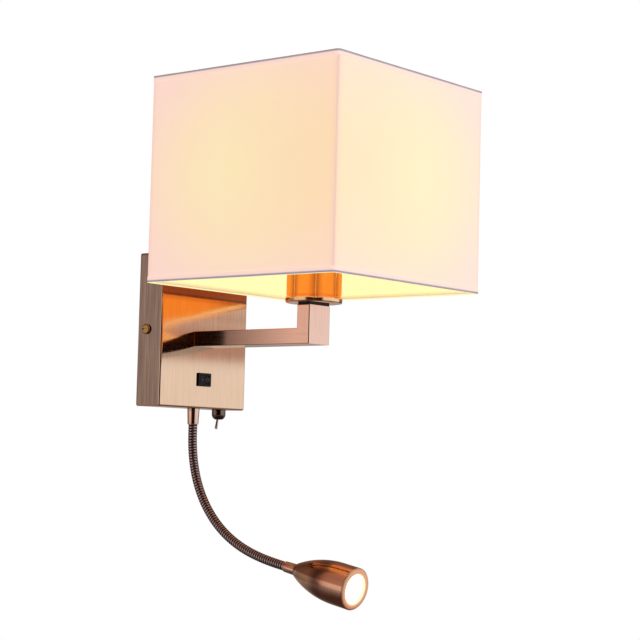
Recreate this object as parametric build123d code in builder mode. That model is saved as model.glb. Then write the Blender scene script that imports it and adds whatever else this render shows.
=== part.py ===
from build123d import *
from math import cos, radians, sin, sqrt
import os

# Bedside wall lamp: a square fabric shade on an upright arm, and a reading light on a bending neck.
# Millimetres. The origin is the middle of the wall plate on the wall: +X right, +Y into the wall, +Z up.

# wall box
cover_width = 100.0
cover_height = 120.0
cover_depth = 25.0
cover_wall = 1.2
cover_edge = 1.6            # rounding of the outer edges of the cover
bracket_height = 25.0
bracket_thickness = 1.6
ear_depth = 16.0            # how far the bracket's bent ears reach from the wall
tongue_drop = 21.0          # length of the tongue that carries the terminal block
wall_screw_spacing = 60.0
wall_slot_length = 14.0
wall_slot_width = 4.5
supply_hole = 14.0          # where the house wiring comes through the bracket
side_screw_back = 9.0       # side screws' distance from the wall
side_screw_size = 4.0
side_screw_head = 8.0
side_screw_head_height = 2.0
screw_tail = 2.0            # how far a side screw reaches past its nut plate
terminal_width = 30.0
terminal_height = 17.0
terminal_depth = 11.0
terminal_corner = 1.0
terminal_hole = 6.0
terminal_gap = 0.9          # between the terminal block and the bracket's ear
tongue_margin = 1.0
terminal_screw_size = 3.0
terminal_screw_head = 4.8
terminal_screw_head_height = 1.6
earth_screw_place = 14.0
earth_screw_size = 4.0
earth_screw_head = 7.6
earth_screw_head_height = 2.4
driver_width = 46.0
driver_height = 28.0
driver_depth = 16.0
driver_corner = 2.0
driver_place = 34.0         # height of the driver's middle above the arm bolts' level
pan_round = 0.6             # share of a screw head's height that is rounded
slot_reach = 0.75           # a screw's slot, as shares of its head's width
slot_cut = 0.12

# clearances, on the radius or on each side
screw_gap = 0.05            # a thread in its tapped hole
hole_gap = 0.2              # a screw in a plain hole
slip_gap = 0.1              # a part that turns or slides in its seat
seat_gap = 0.3              # between parts that pass each other

# rocker switch in the front face
rocker_drop = 37.3          # below the middle of the plate
rocker_width = 14.8
rocker_height = 10.8
rocker_frame = 1.4          # how far its frame stands off the cover
rocker_corner = 0.8
rocker_draft = 8.0          # degrees
rocker_body_width = 13.6
rocker_body_height = 8.8
rocker_body_depth = 13.0
rocker_window_width = 11.4
rocker_window_height = 7.2
rocker_end_gap = 0.95       # between the rocker's ends and the window
rocker_side_gap = 0.2
rocker_pivot_depth = 2.1    # pivot behind the cover's face
rocker_rise = 4.6           # from the pivot to the rocker's end corners
rocker_dish = 0.9           # how much lower the middle of the rocker's face is
rocker_skirt = 2.3          # from the pivot to the back of the rocker's ends
rocker_keel_width = 6.5
rocker_keel = 1.8           # how far the rocker reaches behind its pivot
rocker_tilt = 10.0          # degrees each way
rocker_pin = 0.8            # radius of the rocker's pivot pins
terminal_tab = 6.0          # length of a switch's terminals
terminal_tab_thickness = 0.8

# toggle switch under the box
toggle_inset = 17.8         # from the box's side
toggle_back = 13.0          # distance from the wall
toggle_body_width = 13.0
toggle_body_depth = 8.0
toggle_body_height = 10.0
toggle_corner = 0.6
toggle_thread = 6.0
toggle_reach = 6.8          # bushing below the box
toggle_nut = 11.2
toggle_nut_side = 3.5       # straight part of the dome nut's side
toggle_nut_crown = 0.9      # thickness of its crown
toggle_nut_mouth = 1.0      # flat ring round the lever's mouth
toggle_lever_root = 1.6
toggle_lever_tip = 2.4
toggle_lever_round = 0.6
toggle_lever_reach = 15.5   # lever tip below the box
toggle_tilt = 11.0          # degrees each way
toggle_ball = 3.6

# arm and post
arm_width = 25.0
arm_height = 12.0
arm_wall = 1.2
arm_edge = 0.5
arm_reach = 110.7           # from the cover's face to the post's axis
arm_drop = 5.4              # arm's axis below the middle of the plate
post_rise = 23.6            # post top above the arm's axis
end_block_length = 12.0
arm_screw_size = 4.0
arm_screw_spacing = 15.0
arm_screw_length = 10.0
arm_screw_head = 7.0
arm_screw_head_height = 2.4
backing_width = 40.0
backing_height = 22.0
backing_thickness = 2.0
backing_corner = 2.0
lead_diameter = 4.4
lead_bore = 7.0             # holes that the lead passes
lead_bend = 8.0
lead_dip = 0.5              # slope of the lead behind the arm, over its run to the terminals

# lampholder and bulb
gasket_height = 1.8
nipple_size = 8.0
nipple_bore = 5.6
post_cap_height = 6.0
nipple_nut_height = 3.0
nipple_nut_width = 13.6     # across its corners
nipple_end = 1.0            # how far the nipple stands past its nut
cup_diameter = 42.0
cup_height = 36.0
cup_wall = 1.0
cup_lip_diameter = 43.4
cup_lip_height = 4.4
cup_lip_round = 0.9
round_share = 0.9           # a rounding takes no more than this share of its wall
holder_diameter = 38.0
holder_flange = 46.0
holder_flange_height = 2.5
holder_thread = 39.6
holder_thread_height = 19.5
holder_bore = 27.2
holder_bore_depth = 36.0
holder_foot_gap = 3.0       # room for wiring above the nipple's nut
shell_wall = 0.4
shell_recess = 2.0          # from the lampholder's rim to its thread shell
contact_length = 16.3
contact_width = 5.0
contact_thickness = 0.6
bulb_cap_diameter = 26.0
bulb_cap_length = 27.0
bulb_cap_taper = 4.3
bulb_tip_diameter = 8.6
bulb_tip_height = 1.5
bulb_collar_height = 13.5
bulb_collar_diameter = 40.0
bulb_collar_step = 1.5      # how far the collar's foot stands out from the cap
bulb_diameter = 60.0
bulb_shoulder_diameter = 54.8   # halfway between the collar and the widest place
bulb_length = 77.5          # from the lampholder's rim to the top of the globe
bulb_wall = 1.2

# shade
shade_width = 180.0
shade_height = 157.0
shade_lift = 11.6           # shade's lower edge above the cup's foot
shade_wall = 1.2
shade_corner = 2.5
trim_height = 5.0
trim_thickness = 0.4
wire = 3.0
wire_corner = 4.0
carrier_ring_diameter = 52.0
carrier_ring_height = 1.5
shade_nut_diameter = 50.0
shade_nut_height = 7.0
shade_nut_bevel = 1.0

# bending neck
neck_back = 14.8            # the neck's root, from the wall
neck_diameter = 7.2
neck_bore = 3.6
neck_length = 163.8
neck_bends = [5.0, 10.0, 12.0, 12.0, 12.0, 11.0, 9.0, 6.0, 2.0]     # degrees turned by each link
rib_pitch = 1.6
rib_depth = 0.4
rib_crest_end = 0.5         # shares of the pitch where a rib's crest ends
groove_start = 0.65         # and where its groove starts and ends
groove_end = 0.85
link_gap = 0.3              # between a link's round end and the next link's cup
neck_seat = 7.0             # how far the neck goes into each ferrule
ferrule_length = 12.8
ferrule_top_diameter = 9.8
ferrule_low_diameter = 8.7
ferrule_thread = 8.0
lock_nut_size = 13.0
lock_nut_height = 4.0
thread_end = 1.0            # how far the ferrule's thread stands past its nut

# reading head
end_ferrule_length = 11.0
end_ferrule_neck_diameter = 8.2
end_ferrule_head_diameter = 8.8
end_ferrule_stub = 6.0
stub_length = 6.0
end_ferrule_edge = 0.4      # the bevel at the ferrule's mouth
end_ferrule_edge_rise = 0.1
head_length = 57.0
head_diameter = 32.0
head_rear_diameter = 10.0
head_nose_length = 42.0     # length over which the head swells to its full diameter
head_wall = 1.4
head_rear_wall = 4.0
head_lip_round = 0.55
ring_width = 4.9            # flat front ring, seen from the front
ring_height = 2.2
ring_proud = 0.6            # how far the ring stands out of the head
ring_bevel = 0.6
lens_thickness = 2.0
lens_lip = 1.2              # lens hidden behind the ring, all round
reflector_depth = 12.0
reflector_foot = 5.5
reflector_wall = 0.8
reflector_lip = 1.5         # lens edge that rests on the reflector
reflector_flange = 1.2
board_thickness = 1.6
board_gap = 1.5             # between the board and the head's wall
led_gap = 1.0
led_height = 0.8
sink_length = 14.0
grub_screw_size = 3.0
grub_screw_length = 3.0
grub_screw_place = 6.0      # from the head's rear
grub_recess = 0.3
grub_socket = 1.5

os.makedirs("parts", exist_ok=True)


def save(part, name):
    part.label = name
    export_step(part, f"parts/{name}.step")


def front(depth):
    """Plane parallel to the wall, facing into the room, at a depth from the wall."""
    return Plane(origin=(0, -depth, 0), x_dir=(1, 0, 0), z_dir=(0, -1, 0))


def level(x, y, z):
    """Horizontal plane facing up, with its origin at a point."""
    return Plane(origin=(x, y, z), x_dir=(1, 0, 0), z_dir=(0, 0, 1))


def pan_screw(seat, size, length, head, head_height):
    """Screw with its head on the seat's outer side, its thread behind it and a slot across it."""
    with BuildSketch(Plane(origin=seat.origin, x_dir=seat.x_dir, z_dir=-seat.y_dir)) as half:
        with BuildLine():
            round_over = head_height * pan_round
            sides = Polyline((0, head_height), (0, -length), (size / 2, -length), (size / 2, 0),
                             (head / 2, 0), (head / 2, head_height - round_over))
            corner = RadiusArc(sides @ 1, (head / 2 - round_over, head_height), -round_over)
            Line(corner @ 1, sides @ 0)
        make_face()
    revolve(half.sketch, axis=Axis(seat.origin, seat.z_dir))
    with BuildSketch(seat.offset(head_height)) as slot:
        Rectangle(head * slot_reach, head * slot_cut)
    extrude(slot.sketch, amount=-head_height / 2, mode=Mode.SUBTRACT)


# wall box

inner_half = cover_width / 2 - cover_wall
inner_floor = -cover_height / 2 + cover_wall
face_inside = cover_depth - cover_wall
arm_level = -arm_drop
rocker_level = -rocker_drop
toggle_place = cover_width / 2 - toggle_inset

with BuildPart() as plate_cover:
    with BuildSketch(front(0)):
        Rectangle(cover_width, cover_height)
    extrude(amount=cover_depth)
    fillet(edges().filter_by(Axis.Y) + faces().sort_by(Axis.Y)[0].edges(), cover_edge)
    with BuildSketch(front(0)):
        Rectangle(cover_width - 2 * cover_wall, cover_height - 2 * cover_wall)
    extrude(amount=face_inside, mode=Mode.SUBTRACT)
    with BuildSketch(front(face_inside)):
        with Locations((0, rocker_level)):
            Rectangle(rocker_body_width + 2 * slip_gap, rocker_body_height + 2 * slip_gap)
        with Locations((0, arm_level)):
            Circle(lead_bore / 2)
            with GridLocations(arm_screw_spacing, 0, 2, 1):
                Circle(arm_screw_size / 2 + hole_gap)
    extrude(amount=cover_wall, mode=Mode.SUBTRACT)
    with BuildSketch(level(0, -neck_back, -cover_height / 2)):
        Circle(ferrule_thread / 2 + slip_gap)
    with BuildSketch(level(toggle_place, -toggle_back, -cover_height / 2)):
        Circle(toggle_thread / 2 + slip_gap)
    extrude(amount=cover_wall, mode=Mode.SUBTRACT)
    with BuildSketch(Plane.YZ.offset(-cover_width / 2)):
        with Locations((-side_screw_back, 0)):
            Circle(side_screw_size / 2 + hole_gap)
    extrude(amount=cover_width, mode=Mode.SUBTRACT)
save(plate_cover.part, "plate_cover")

ear_face = inner_half - seat_gap
terminal_place = terminal_width / 2 + terminal_gap - (ear_face - bracket_thickness)
terminal_level = -bracket_height / 2 - tongue_drop / 2
terminal_face = bracket_thickness + terminal_depth
with BuildPart() as wall_bracket:
    with BuildSketch(Plane.XY.offset(-bracket_height / 2)):
        with BuildLine():
            Polyline((-ear_face, 0), (ear_face, 0), (ear_face, -ear_depth),
                     (ear_face - bracket_thickness, -ear_depth),
                     (ear_face - bracket_thickness, -bracket_thickness),
                     (-ear_face + bracket_thickness, -bracket_thickness),
                     (-ear_face + bracket_thickness, -ear_depth), (-ear_face, -ear_depth), close=True)
        make_face()
    extrude(amount=bracket_height)
    with BuildSketch(front(0)):
        with Locations((terminal_place, terminal_level)):
            Rectangle(terminal_width + 2 * tongue_margin, tongue_drop)
    extrude(amount=bracket_thickness)
    with BuildSketch(front(0)):
        with GridLocations(wall_screw_spacing, 0, 2, 1):
            SlotOverall(wall_slot_length, wall_slot_width)
        Circle(supply_hole / 2)
        with Locations((terminal_place, terminal_level)):
            Circle(terminal_screw_size / 2 + screw_gap)
        with Locations((earth_screw_place, 0)):
            Circle(earth_screw_size / 2 + screw_gap)
    extrude(amount=bracket_thickness, mode=Mode.SUBTRACT)
    with BuildSketch(Plane.YZ.offset(-ear_face)):
        with Locations((-side_screw_back, 0)):
            Circle(side_screw_size / 2 + screw_gap)
    extrude(amount=2 * ear_face, mode=Mode.SUBTRACT)
save(wall_bracket.part, "wall_bracket")

side_screw_length = cover_wall + seat_gap + bracket_thickness + screw_tail
with BuildPart() as cover_side_screws:
    for side in (-1, 1):
        pan_screw(Plane(origin=(side * cover_width / 2, -side_screw_back, 0), x_dir=(0, 1, 0),
                        z_dir=(side, 0, 0)),
                  side_screw_size, side_screw_length, side_screw_head, side_screw_head_height)
save(cover_side_screws.part, "cover_side_screws")

with BuildPart() as terminal_block:
    with BuildSketch(front(bracket_thickness)):
        with Locations((terminal_place, terminal_level)):
            RectangleRounded(terminal_width, terminal_height, terminal_corner)
    extrude(amount=terminal_depth)
    with BuildSketch(front(terminal_face)):
        with Locations((terminal_place, terminal_level)):
            with GridLocations(terminal_width / 3, terminal_height / 2, 3, 2):
                Circle(terminal_hole / 2)
    extrude(amount=-terminal_depth / 2, mode=Mode.SUBTRACT)
    with BuildSketch(front(bracket_thickness)):
        with Locations((terminal_place, terminal_level)):
            Circle(terminal_screw_size / 2 + hole_gap)
    extrude(amount=terminal_depth, mode=Mode.SUBTRACT)
save(terminal_block.part, "terminal_block")

with BuildPart() as terminal_fixing_screw:
    pan_screw(Plane(origin=(terminal_place, -terminal_face, terminal_level), x_dir=(1, 0, 0),
                    z_dir=(0, -1, 0)),
              terminal_screw_size, terminal_depth + bracket_thickness, terminal_screw_head,
              terminal_screw_head_height)
save(terminal_fixing_screw.part, "terminal_fixing_screw")

with BuildPart() as earth_screw:
    pan_screw(Plane(origin=(earth_screw_place, -bracket_thickness, 0), x_dir=(1, 0, 0),
                    z_dir=(0, -1, 0)),
              earth_screw_size, bracket_thickness, earth_screw_head, earth_screw_head_height)
save(earth_screw.part, "earth_screw")

with BuildPart() as led_driver:
    with BuildSketch(front(face_inside)):
        with Locations((0, arm_level + driver_place)):
            RectangleRounded(driver_width, driver_height, driver_corner)
    extrude(amount=-driver_depth)
save(led_driver.part, "led_driver")

# rocker switch

pivot_depth = cover_depth - rocker_pivot_depth
with BuildPart() as rocker_housing:
    with BuildSketch(front(cover_depth)):
        with Locations((0, rocker_level)):
            RectangleRounded(rocker_width, rocker_height, rocker_corner)
    extrude(amount=rocker_frame, taper=rocker_draft)
    with BuildSketch(front(cover_depth)):
        with Locations((0, rocker_level)):
            Rectangle(rocker_body_width, rocker_body_height)
    extrude(amount=-rocker_body_depth)
    with BuildSketch(front(cover_depth + rocker_frame)):
        with Locations((0, rocker_level)):
            Rectangle(rocker_window_width, rocker_window_height)
    extrude(amount=-(rocker_frame + rocker_pivot_depth + rocker_rise), mode=Mode.SUBTRACT)
    with BuildSketch(level(0, -pivot_depth, rocker_level)):
        Circle(rocker_pin + slip_gap)
    extrude(amount=rocker_window_height / 2 + rocker_pin, both=True, mode=Mode.SUBTRACT)
save(rocker_housing.part, "rocker_housing")

rocker_half = rocker_window_width / 2 - rocker_end_gap
rocker_tall = rocker_window_height - 2 * rocker_side_gap
keel_half = rocker_keel_width / 2
rocker_plane = Plane(origin=(0, -pivot_depth, rocker_level - rocker_tall / 2),
                     x_dir=(cos(radians(rocker_tilt)), -sin(radians(rocker_tilt)), 0), z_dir=(0, 0, 1))
with BuildPart() as rocker_button:
    with BuildSketch(rocker_plane):
        with BuildLine():
            dished = ThreePointArc((-rocker_half, -rocker_rise), (0, -rocker_rise + rocker_dish),
                                   (rocker_half, -rocker_rise))
            Polyline(dished @ 1, (rocker_half, -rocker_skirt), (keel_half, rocker_keel),
                     (-keel_half, rocker_keel), (-rocker_half, -rocker_skirt), dished @ 0)
        make_face()
    extrude(amount=rocker_tall)
    with BuildSketch(level(0, -pivot_depth, rocker_level)):
        Circle(rocker_pin)
    extrude(amount=rocker_window_height / 2 + rocker_pin / 2, both=True)
save(rocker_button.part, "rocker_button")

rocker_back = cover_depth - rocker_body_depth
with BuildPart() as rocker_terminals:
    with BuildSketch(front(rocker_back)):
        with Locations((0, rocker_level)):
            with GridLocations(rocker_body_width / 2, 0, 2, 1):
                Rectangle(terminal_tab_thickness, rocker_body_height / 2)
    extrude(amount=-terminal_tab)
save(rocker_terminals.part, "rocker_terminals")

# toggle switch

under = -cover_height / 2
toggle_foot = level(toggle_place, -toggle_back, inner_floor)
ball_level = under - toggle_ball / 2
with BuildPart() as toggle_body:
    with BuildSketch(toggle_foot):
        RectangleRounded(toggle_body_width, toggle_body_depth, toggle_corner)
    extrude(amount=toggle_body_height)
save(toggle_body.part, "toggle_body")

with BuildPart() as toggle_terminals:
    with BuildSketch(toggle_foot.offset(toggle_body_height)):
        with GridLocations(toggle_body_width / 3, 0, 3, 1):
            Rectangle(terminal_tab_thickness, toggle_body_depth / 3)
    extrude(amount=terminal_tab)
save(toggle_terminals.part, "toggle_terminals")

lever_swing = sin(radians(toggle_tilt)) * (toggle_reach - toggle_ball / 2)
lever_half = (toggle_lever_root + toggle_lever_tip) / 4
toggle_mouth = min(lever_half + lever_swing + 2 * slip_gap, toggle_thread / 2 - slip_gap)
with BuildPart() as toggle_bushing:
    with BuildSketch(toggle_foot):
        Circle(toggle_thread / 2)
    extrude(amount=-(cover_wall + toggle_reach))
    with BuildSketch(toggle_foot):
        Circle(toggle_ball / 2 + slip_gap)
    extrude(amount=-(cover_wall + toggle_ball), mode=Mode.SUBTRACT)
    with BuildSketch(level(toggle_place, -toggle_back, ball_level)):
        Circle(toggle_ball / 2 + slip_gap)
    with BuildSketch(level(toggle_place, -toggle_back, under - toggle_reach)):
        Circle(toggle_mouth)
    loft(mode=Mode.SUBTRACT)
save(toggle_bushing.part, "toggle_bushing")

nut_bottom = toggle_reach + slip_gap + toggle_nut_crown
with BuildPart() as toggle_dome_nut:
    with BuildSketch(Plane(origin=(toggle_place, -toggle_back, under), x_dir=(1, 0, 0),
                           z_dir=(0, -1, 0))):
        with BuildLine():
            bore = toggle_thread / 2 + screw_gap
            wall = Polyline((toggle_mouth, -nut_bottom), (toggle_mouth, -toggle_reach - slip_gap),
                            (bore, -toggle_reach - slip_gap), (bore, 0), (toggle_nut / 2, 0),
                            (toggle_nut / 2, -toggle_nut_side))
            crown = TangentArc(wall @ 1, (toggle_mouth + toggle_nut_mouth, -nut_bottom),
                               tangent=(0, -1))
            Line(crown @ 1, wall @ 0)
        make_face()
    revolve(axis=Axis((toggle_place, -toggle_back, 0), (0, 0, 1)))
save(toggle_dome_nut.part, "toggle_dome_nut")

lever_way = Vector(-sin(radians(toggle_tilt)), 0, -cos(radians(toggle_tilt)))
lever_length = (toggle_lever_reach - toggle_ball / 2) / cos(radians(toggle_tilt))
lever_root = Plane(origin=(toggle_place, -toggle_back, ball_level), x_dir=(0, 1, 0), z_dir=lever_way)
with BuildPart() as toggle_lever:
    with Locations((toggle_place, -toggle_back, ball_level)):
        Sphere(toggle_ball / 2)
    with BuildSketch(lever_root):
        Circle(toggle_lever_root / 2)
    with BuildSketch(lever_root.offset(lever_length)):
        Circle(toggle_lever_tip / 2)
    loft()
    fillet(faces().sort_by(Axis.Z)[0].edges(), toggle_lever_round)
save(toggle_lever.part, "toggle_lever")

# arm and post

post_depth = cover_depth + arm_reach            # post's axis, from the wall
post_top = arm_level + post_rise
arm_low = arm_level - arm_height / 2
arm_high = arm_level + arm_height / 2
post_front = post_depth + arm_height / 2
post_back = post_depth - arm_height / 2


def elbow(wall):
    """The arm's side view, an L from the box to the post top, drawn in from its outside by a wall."""
    with BuildLine() as outline:
        Polyline((-cover_depth, arm_low + wall), (-post_front + wall, arm_low + wall),
                 (-post_front + wall, post_top), (-post_back - wall, post_top),
                 (-post_back - wall, arm_high - wall), (-cover_depth, arm_high - wall), close=True)
    make_face(outline.edges())


with BuildPart() as arm:
    with BuildSketch(Plane.YZ.offset(-arm_width / 2)):
        elbow(0)
    extrude(amount=arm_width)
    long_edges = edges().filter_by(Axis.Y) + edges().filter_by(Axis.Z)
    fillet(long_edges, arm_edge)
    with BuildSketch(Plane.YZ.offset(-arm_width / 2 + arm_wall)):
        elbow(arm_wall)
    extrude(amount=arm_width - 2 * arm_wall, mode=Mode.SUBTRACT)
save(arm.part, "arm")

bolt_plane = Plane(origin=(0, -cover_depth, arm_level), x_dir=(1, 0, 0), z_dir=(0, -1, 0))
with BuildPart() as arm_end_block:
    with BuildSketch(bolt_plane):
        Rectangle(arm_width - 2 * arm_wall, arm_height - 2 * arm_wall)
        Circle(lead_bore / 2, mode=Mode.SUBTRACT)
        with GridLocations(arm_screw_spacing, 0, 2, 1):
            Circle(arm_screw_size / 2 + screw_gap, mode=Mode.SUBTRACT)
    extrude(amount=end_block_length)
save(arm_end_block.part, "arm_end_block")

with BuildPart() as arm_backing_plate:
    with BuildSketch(bolt_plane.offset(-cover_wall)):
        RectangleRounded(backing_width, backing_height, backing_corner)
        Circle(lead_bore / 2, mode=Mode.SUBTRACT)
        with GridLocations(arm_screw_spacing, 0, 2, 1):
            Circle(arm_screw_size / 2 + hole_gap, mode=Mode.SUBTRACT)
    extrude(amount=-backing_thickness)
save(arm_backing_plate.part, "arm_backing_plate")

with BuildPart() as arm_screws:
    for side in (-1, 1):
        pan_screw(Plane(origin=(side * arm_screw_spacing / 2,
                                -cover_depth + cover_wall + backing_thickness, arm_level),
                        x_dir=(1, 0, 0), z_dir=(0, 1, 0)),
                  arm_screw_size, arm_screw_length, arm_screw_head, arm_screw_head_height)
save(arm_screws.part, "arm_screws")

top_of_post = level(0, -post_depth, post_top)
with BuildPart() as post_cap:
    with BuildSketch(top_of_post):
        Rectangle(arm_width - 2 * arm_wall, arm_height - 2 * arm_wall)
        Circle(nipple_size / 2 + screw_gap, mode=Mode.SUBTRACT)
    extrude(amount=-post_cap_height)
save(post_cap.part, "post_cap")

# lampholder and bulb

with BuildPart() as post_gasket:
    with BuildSketch(top_of_post):
        Rectangle(arm_width - 2 * arm_edge, arm_height - 2 * arm_edge)
        Circle(nipple_size / 2 + hole_gap, mode=Mode.SUBTRACT)
    extrude(amount=gasket_height)
save(post_gasket.part, "post_gasket")

cup_foot = post_top + gasket_height
nipple_top = cup_foot + cup_wall + nipple_nut_height + nipple_end
with BuildPart() as holder_nipple:
    with BuildSketch(top_of_post.offset(-post_cap_height)):
        Circle(nipple_size / 2)
        Circle(nipple_bore / 2, mode=Mode.SUBTRACT)
    extrude(amount=nipple_top - post_top + post_cap_height)
save(holder_nipple.part, "holder_nipple")

with BuildPart() as nipple_nut:
    with BuildSketch(level(0, -post_depth, cup_foot + cup_wall)):
        RegularPolygon(nipple_nut_width / 2, 6)
        Circle(nipple_size / 2 + screw_gap, mode=Mode.SUBTRACT)
    extrude(amount=nipple_nut_height)
save(nipple_nut.part, "nipple_nut")


def turned(outline, depth=post_depth):
    """Turn an outline of (radius, height) points about an upright axis."""
    with BuildSketch(front(depth)) as half:
        with BuildLine():
            Polyline(*outline, close=True)
        make_face()
    revolve(half.sketch, axis=Axis((0, -depth, 0), (0, 0, 1)))


cup_radius = cup_diameter / 2
cup_rim = cup_foot + cup_height
with BuildPart() as holder_cup:
    turned([(nipple_size / 2 + hole_gap, cup_foot), (cup_lip_diameter / 2, cup_foot),
            (cup_lip_diameter / 2, cup_foot + cup_lip_height), (cup_radius, cup_foot + cup_lip_height),
            (cup_radius, cup_rim), (cup_radius - cup_wall, cup_rim),
            (cup_radius - cup_wall, cup_foot + cup_wall), (nipple_size / 2 + hole_gap, cup_foot + cup_wall)])
    lip_radius = min(cup_lip_round, cup_wall * round_share)
    fillet(edges().filter_by(GeomType.CIRCLE).sort_by(Axis.Z).group_by(Axis.Z)[0].sort_by(
        SortBy.RADIUS)[-1], lip_radius)
save(holder_cup.part, "holder_cup")

holder_floor = cup_foot + cup_wall + nipple_nut_height + holder_foot_gap
holder_shoulder = cup_rim + holder_flange_height
holder_rim = holder_shoulder + holder_thread_height
socket_floor = holder_rim - holder_bore_depth
lead_hole = nipple_bore / 2
with BuildPart() as lampholder_body:
    turned([(lead_hole, holder_floor), (holder_diameter / 2, holder_floor),
            (holder_diameter / 2, cup_rim), (holder_flange / 2, cup_rim),
            (holder_flange / 2, holder_shoulder), (holder_thread / 2, holder_shoulder),
            (holder_thread / 2, holder_rim), (holder_bore / 2, holder_rim),
            (holder_bore / 2, socket_floor), (lead_hole, socket_floor)])
save(lampholder_body.part, "lampholder_body")

shell_outer = holder_bore / 2
with BuildPart() as lampholder_shell:
    with BuildSketch(level(0, -post_depth, socket_floor)):
        Circle(shell_outer)
        Circle(shell_outer - shell_wall, mode=Mode.SUBTRACT)
    extrude(amount=holder_bore_depth - shell_recess)
save(lampholder_shell.part, "lampholder_shell")

cap_foot = holder_rim - bulb_cap_length
with BuildPart() as lampholder_contact:
    with BuildSketch(level(0, -post_depth, socket_floor)):
        Rectangle(contact_length, contact_width)
    extrude(amount=contact_thickness)
    with BuildSketch(level(0, -post_depth, socket_floor)):
        Rectangle(contact_width, contact_width)
    extrude(amount=cap_foot - socket_floor - bulb_tip_height)
save(lampholder_contact.part, "lampholder_contact")

with BuildPart() as bulb_cap:
    with BuildSketch(level(0, -post_depth, cap_foot)):
        Circle(bulb_cap_diameter / 2)
    extrude(amount=bulb_cap_length)
    chamfer(edges().sort_by(Axis.Z)[0], bulb_cap_taper)
    with BuildSketch(level(0, -post_depth, cap_foot)):
        Circle(bulb_tip_diameter / 2)
    extrude(amount=-bulb_tip_height)
save(bulb_cap.part, "bulb_cap")

collar_top = holder_rim + bulb_collar_height
with BuildPart() as bulb_collar:
    turned([(0, holder_rim), (bulb_cap_diameter / 2 + bulb_collar_step, holder_rim),
            (bulb_collar_diameter / 2, collar_top), (0, collar_top)])
save(bulb_collar.part, "bulb_collar")

globe_top = holder_rim + bulb_length
globe_level = globe_top - bulb_diameter / 2


def globe_outline(inset):
    """Half section of the globe, drawn in by an inset."""
    with BuildLine() as outline:
        foot = (bulb_collar_diameter / 2 - inset, collar_top)
        side = ThreePointArc(foot, (bulb_shoulder_diameter / 2 - inset, (collar_top + globe_level) / 2),
                             (bulb_diameter / 2 - inset, globe_level))
        crown = RadiusArc(side @ 1, (0, globe_top - inset), -(bulb_diameter / 2 - inset))
        Polyline(crown @ 1, (0, collar_top), foot)
    make_face(outline.edges())


with BuildPart() as bulb_globe:
    with BuildSketch(front(post_depth)):
        globe_outline(0)
    revolve(axis=Axis((0, -post_depth, 0), (0, 0, 1)))
    with BuildSketch(front(post_depth)):
        globe_outline(bulb_wall)
    revolve(axis=Axis((0, -post_depth, 0), (0, 0, 1)), mode=Mode.SUBTRACT)
save(bulb_globe.part, "bulb_globe")

# the lead runs from the lampholder down the post and along the arm into the box
lead_end = (terminal_place + terminal_width / 3, -bracket_thickness - terminal_depth / 2,
            terminal_level + terminal_height / 2)
lead_turn_depth = (terminal_depth / 2 + bracket_thickness + face_inside - backing_thickness) / 2
with BuildPart() as arm_lead:
    with BuildLine() as lead_route:
        FilletPolyline((0, -post_depth, holder_floor), (0, -post_depth, arm_level),
                       (0, -lead_turn_depth, arm_level), (lead_end[0], lead_end[1], arm_level - lead_dip),
                       lead_end, radius=[lead_bend, lead_bend / 2, lead_bend / 2])
    with BuildSketch(Plane(origin=lead_route.line @ 0, z_dir=lead_route.line % 0)):
        Circle(lead_diameter / 2)
    sweep()
save(arm_lead.part, "arm_lead")

# shade

shade_foot = cup_foot + shade_lift
shade_top = shade_foot + shade_height
shade_base = level(0, -post_depth, shade_foot)
with BuildPart() as shade_fabric:
    with BuildSketch(shade_base):
        RectangleRounded(shade_width, shade_width, shade_corner)
        RectangleRounded(shade_width - 2 * shade_wall, shade_width - 2 * shade_wall,
                         shade_corner - shade_wall, mode=Mode.SUBTRACT)
    extrude(amount=shade_height)
save(shade_fabric.part, "shade_fabric")


def trim(edge, way):
    """Folded band round an edge of the shade, a little proud of the fabric; way is +1 up from it."""
    with BuildPart() as band:
        outer = shade_width + 2 * trim_thickness
        inner = shade_width - 2 * shade_wall
        with BuildSketch(edge.offset(-way * trim_thickness)):
            RectangleRounded(outer, outer, shade_corner + trim_thickness)
            RectangleRounded(inner, inner, shade_corner - shade_wall, mode=Mode.SUBTRACT)
        extrude(amount=way * (trim_thickness + trim_height))
        with BuildSketch(edge):
            RectangleRounded(shade_width, shade_width, shade_corner)
        extrude(amount=way * trim_height, mode=Mode.SUBTRACT)
    return band.part


save(trim(shade_base, 1), "shade_trim_bottom")
save(trim(shade_base.offset(shade_height), -1), "shade_trim_top")

wire_half = shade_width / 2 - shade_wall - seat_gap - wire / 2


def square_wire(plane):
    """Wire bent to a square with round corners."""
    with BuildSketch(plane) as outline:
        RectangleRounded(2 * wire_half, 2 * wire_half, wire_corner)
    route = outline.sketch.face().outer_wire()
    with BuildPart() as square:
        with BuildSketch(Plane(origin=route @ 0, z_dir=route % 0)):
            Circle(wire / 2)
        sweep(path=route)
    return square.part


wire_inset = wire / 2 + seat_gap
bottom_wire = shade_base.offset(wire_inset)
top_wire = shade_base.offset(shade_height - wire_inset)
save(square_wire(bottom_wire), "shade_bottom_wire")
save(square_wire(top_wire), "shade_top_wire")

corner_half = wire_half - wire_corner * (1 - 1 / sqrt(2))
with BuildPart() as shade_corner_wires:
    with BuildSketch(bottom_wire.offset(wire / 2)):
        with GridLocations(2 * corner_half, 2 * corner_half, 2, 2):
            Circle(wire / 2)
    extrude(amount=shade_height - 2 * wire_inset - wire)
save(shade_corner_wires.part, "shade_corner_wires")

with BuildPart() as shade_carrier_ring:
    with BuildSketch(level(0, -post_depth, holder_shoulder)):
        Circle(carrier_ring_diameter / 2)
        Circle(holder_thread / 2 + hole_gap, mode=Mode.SUBTRACT)
    extrude(amount=carrier_ring_height)
save(shade_carrier_ring.part, "shade_carrier_ring")

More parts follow.
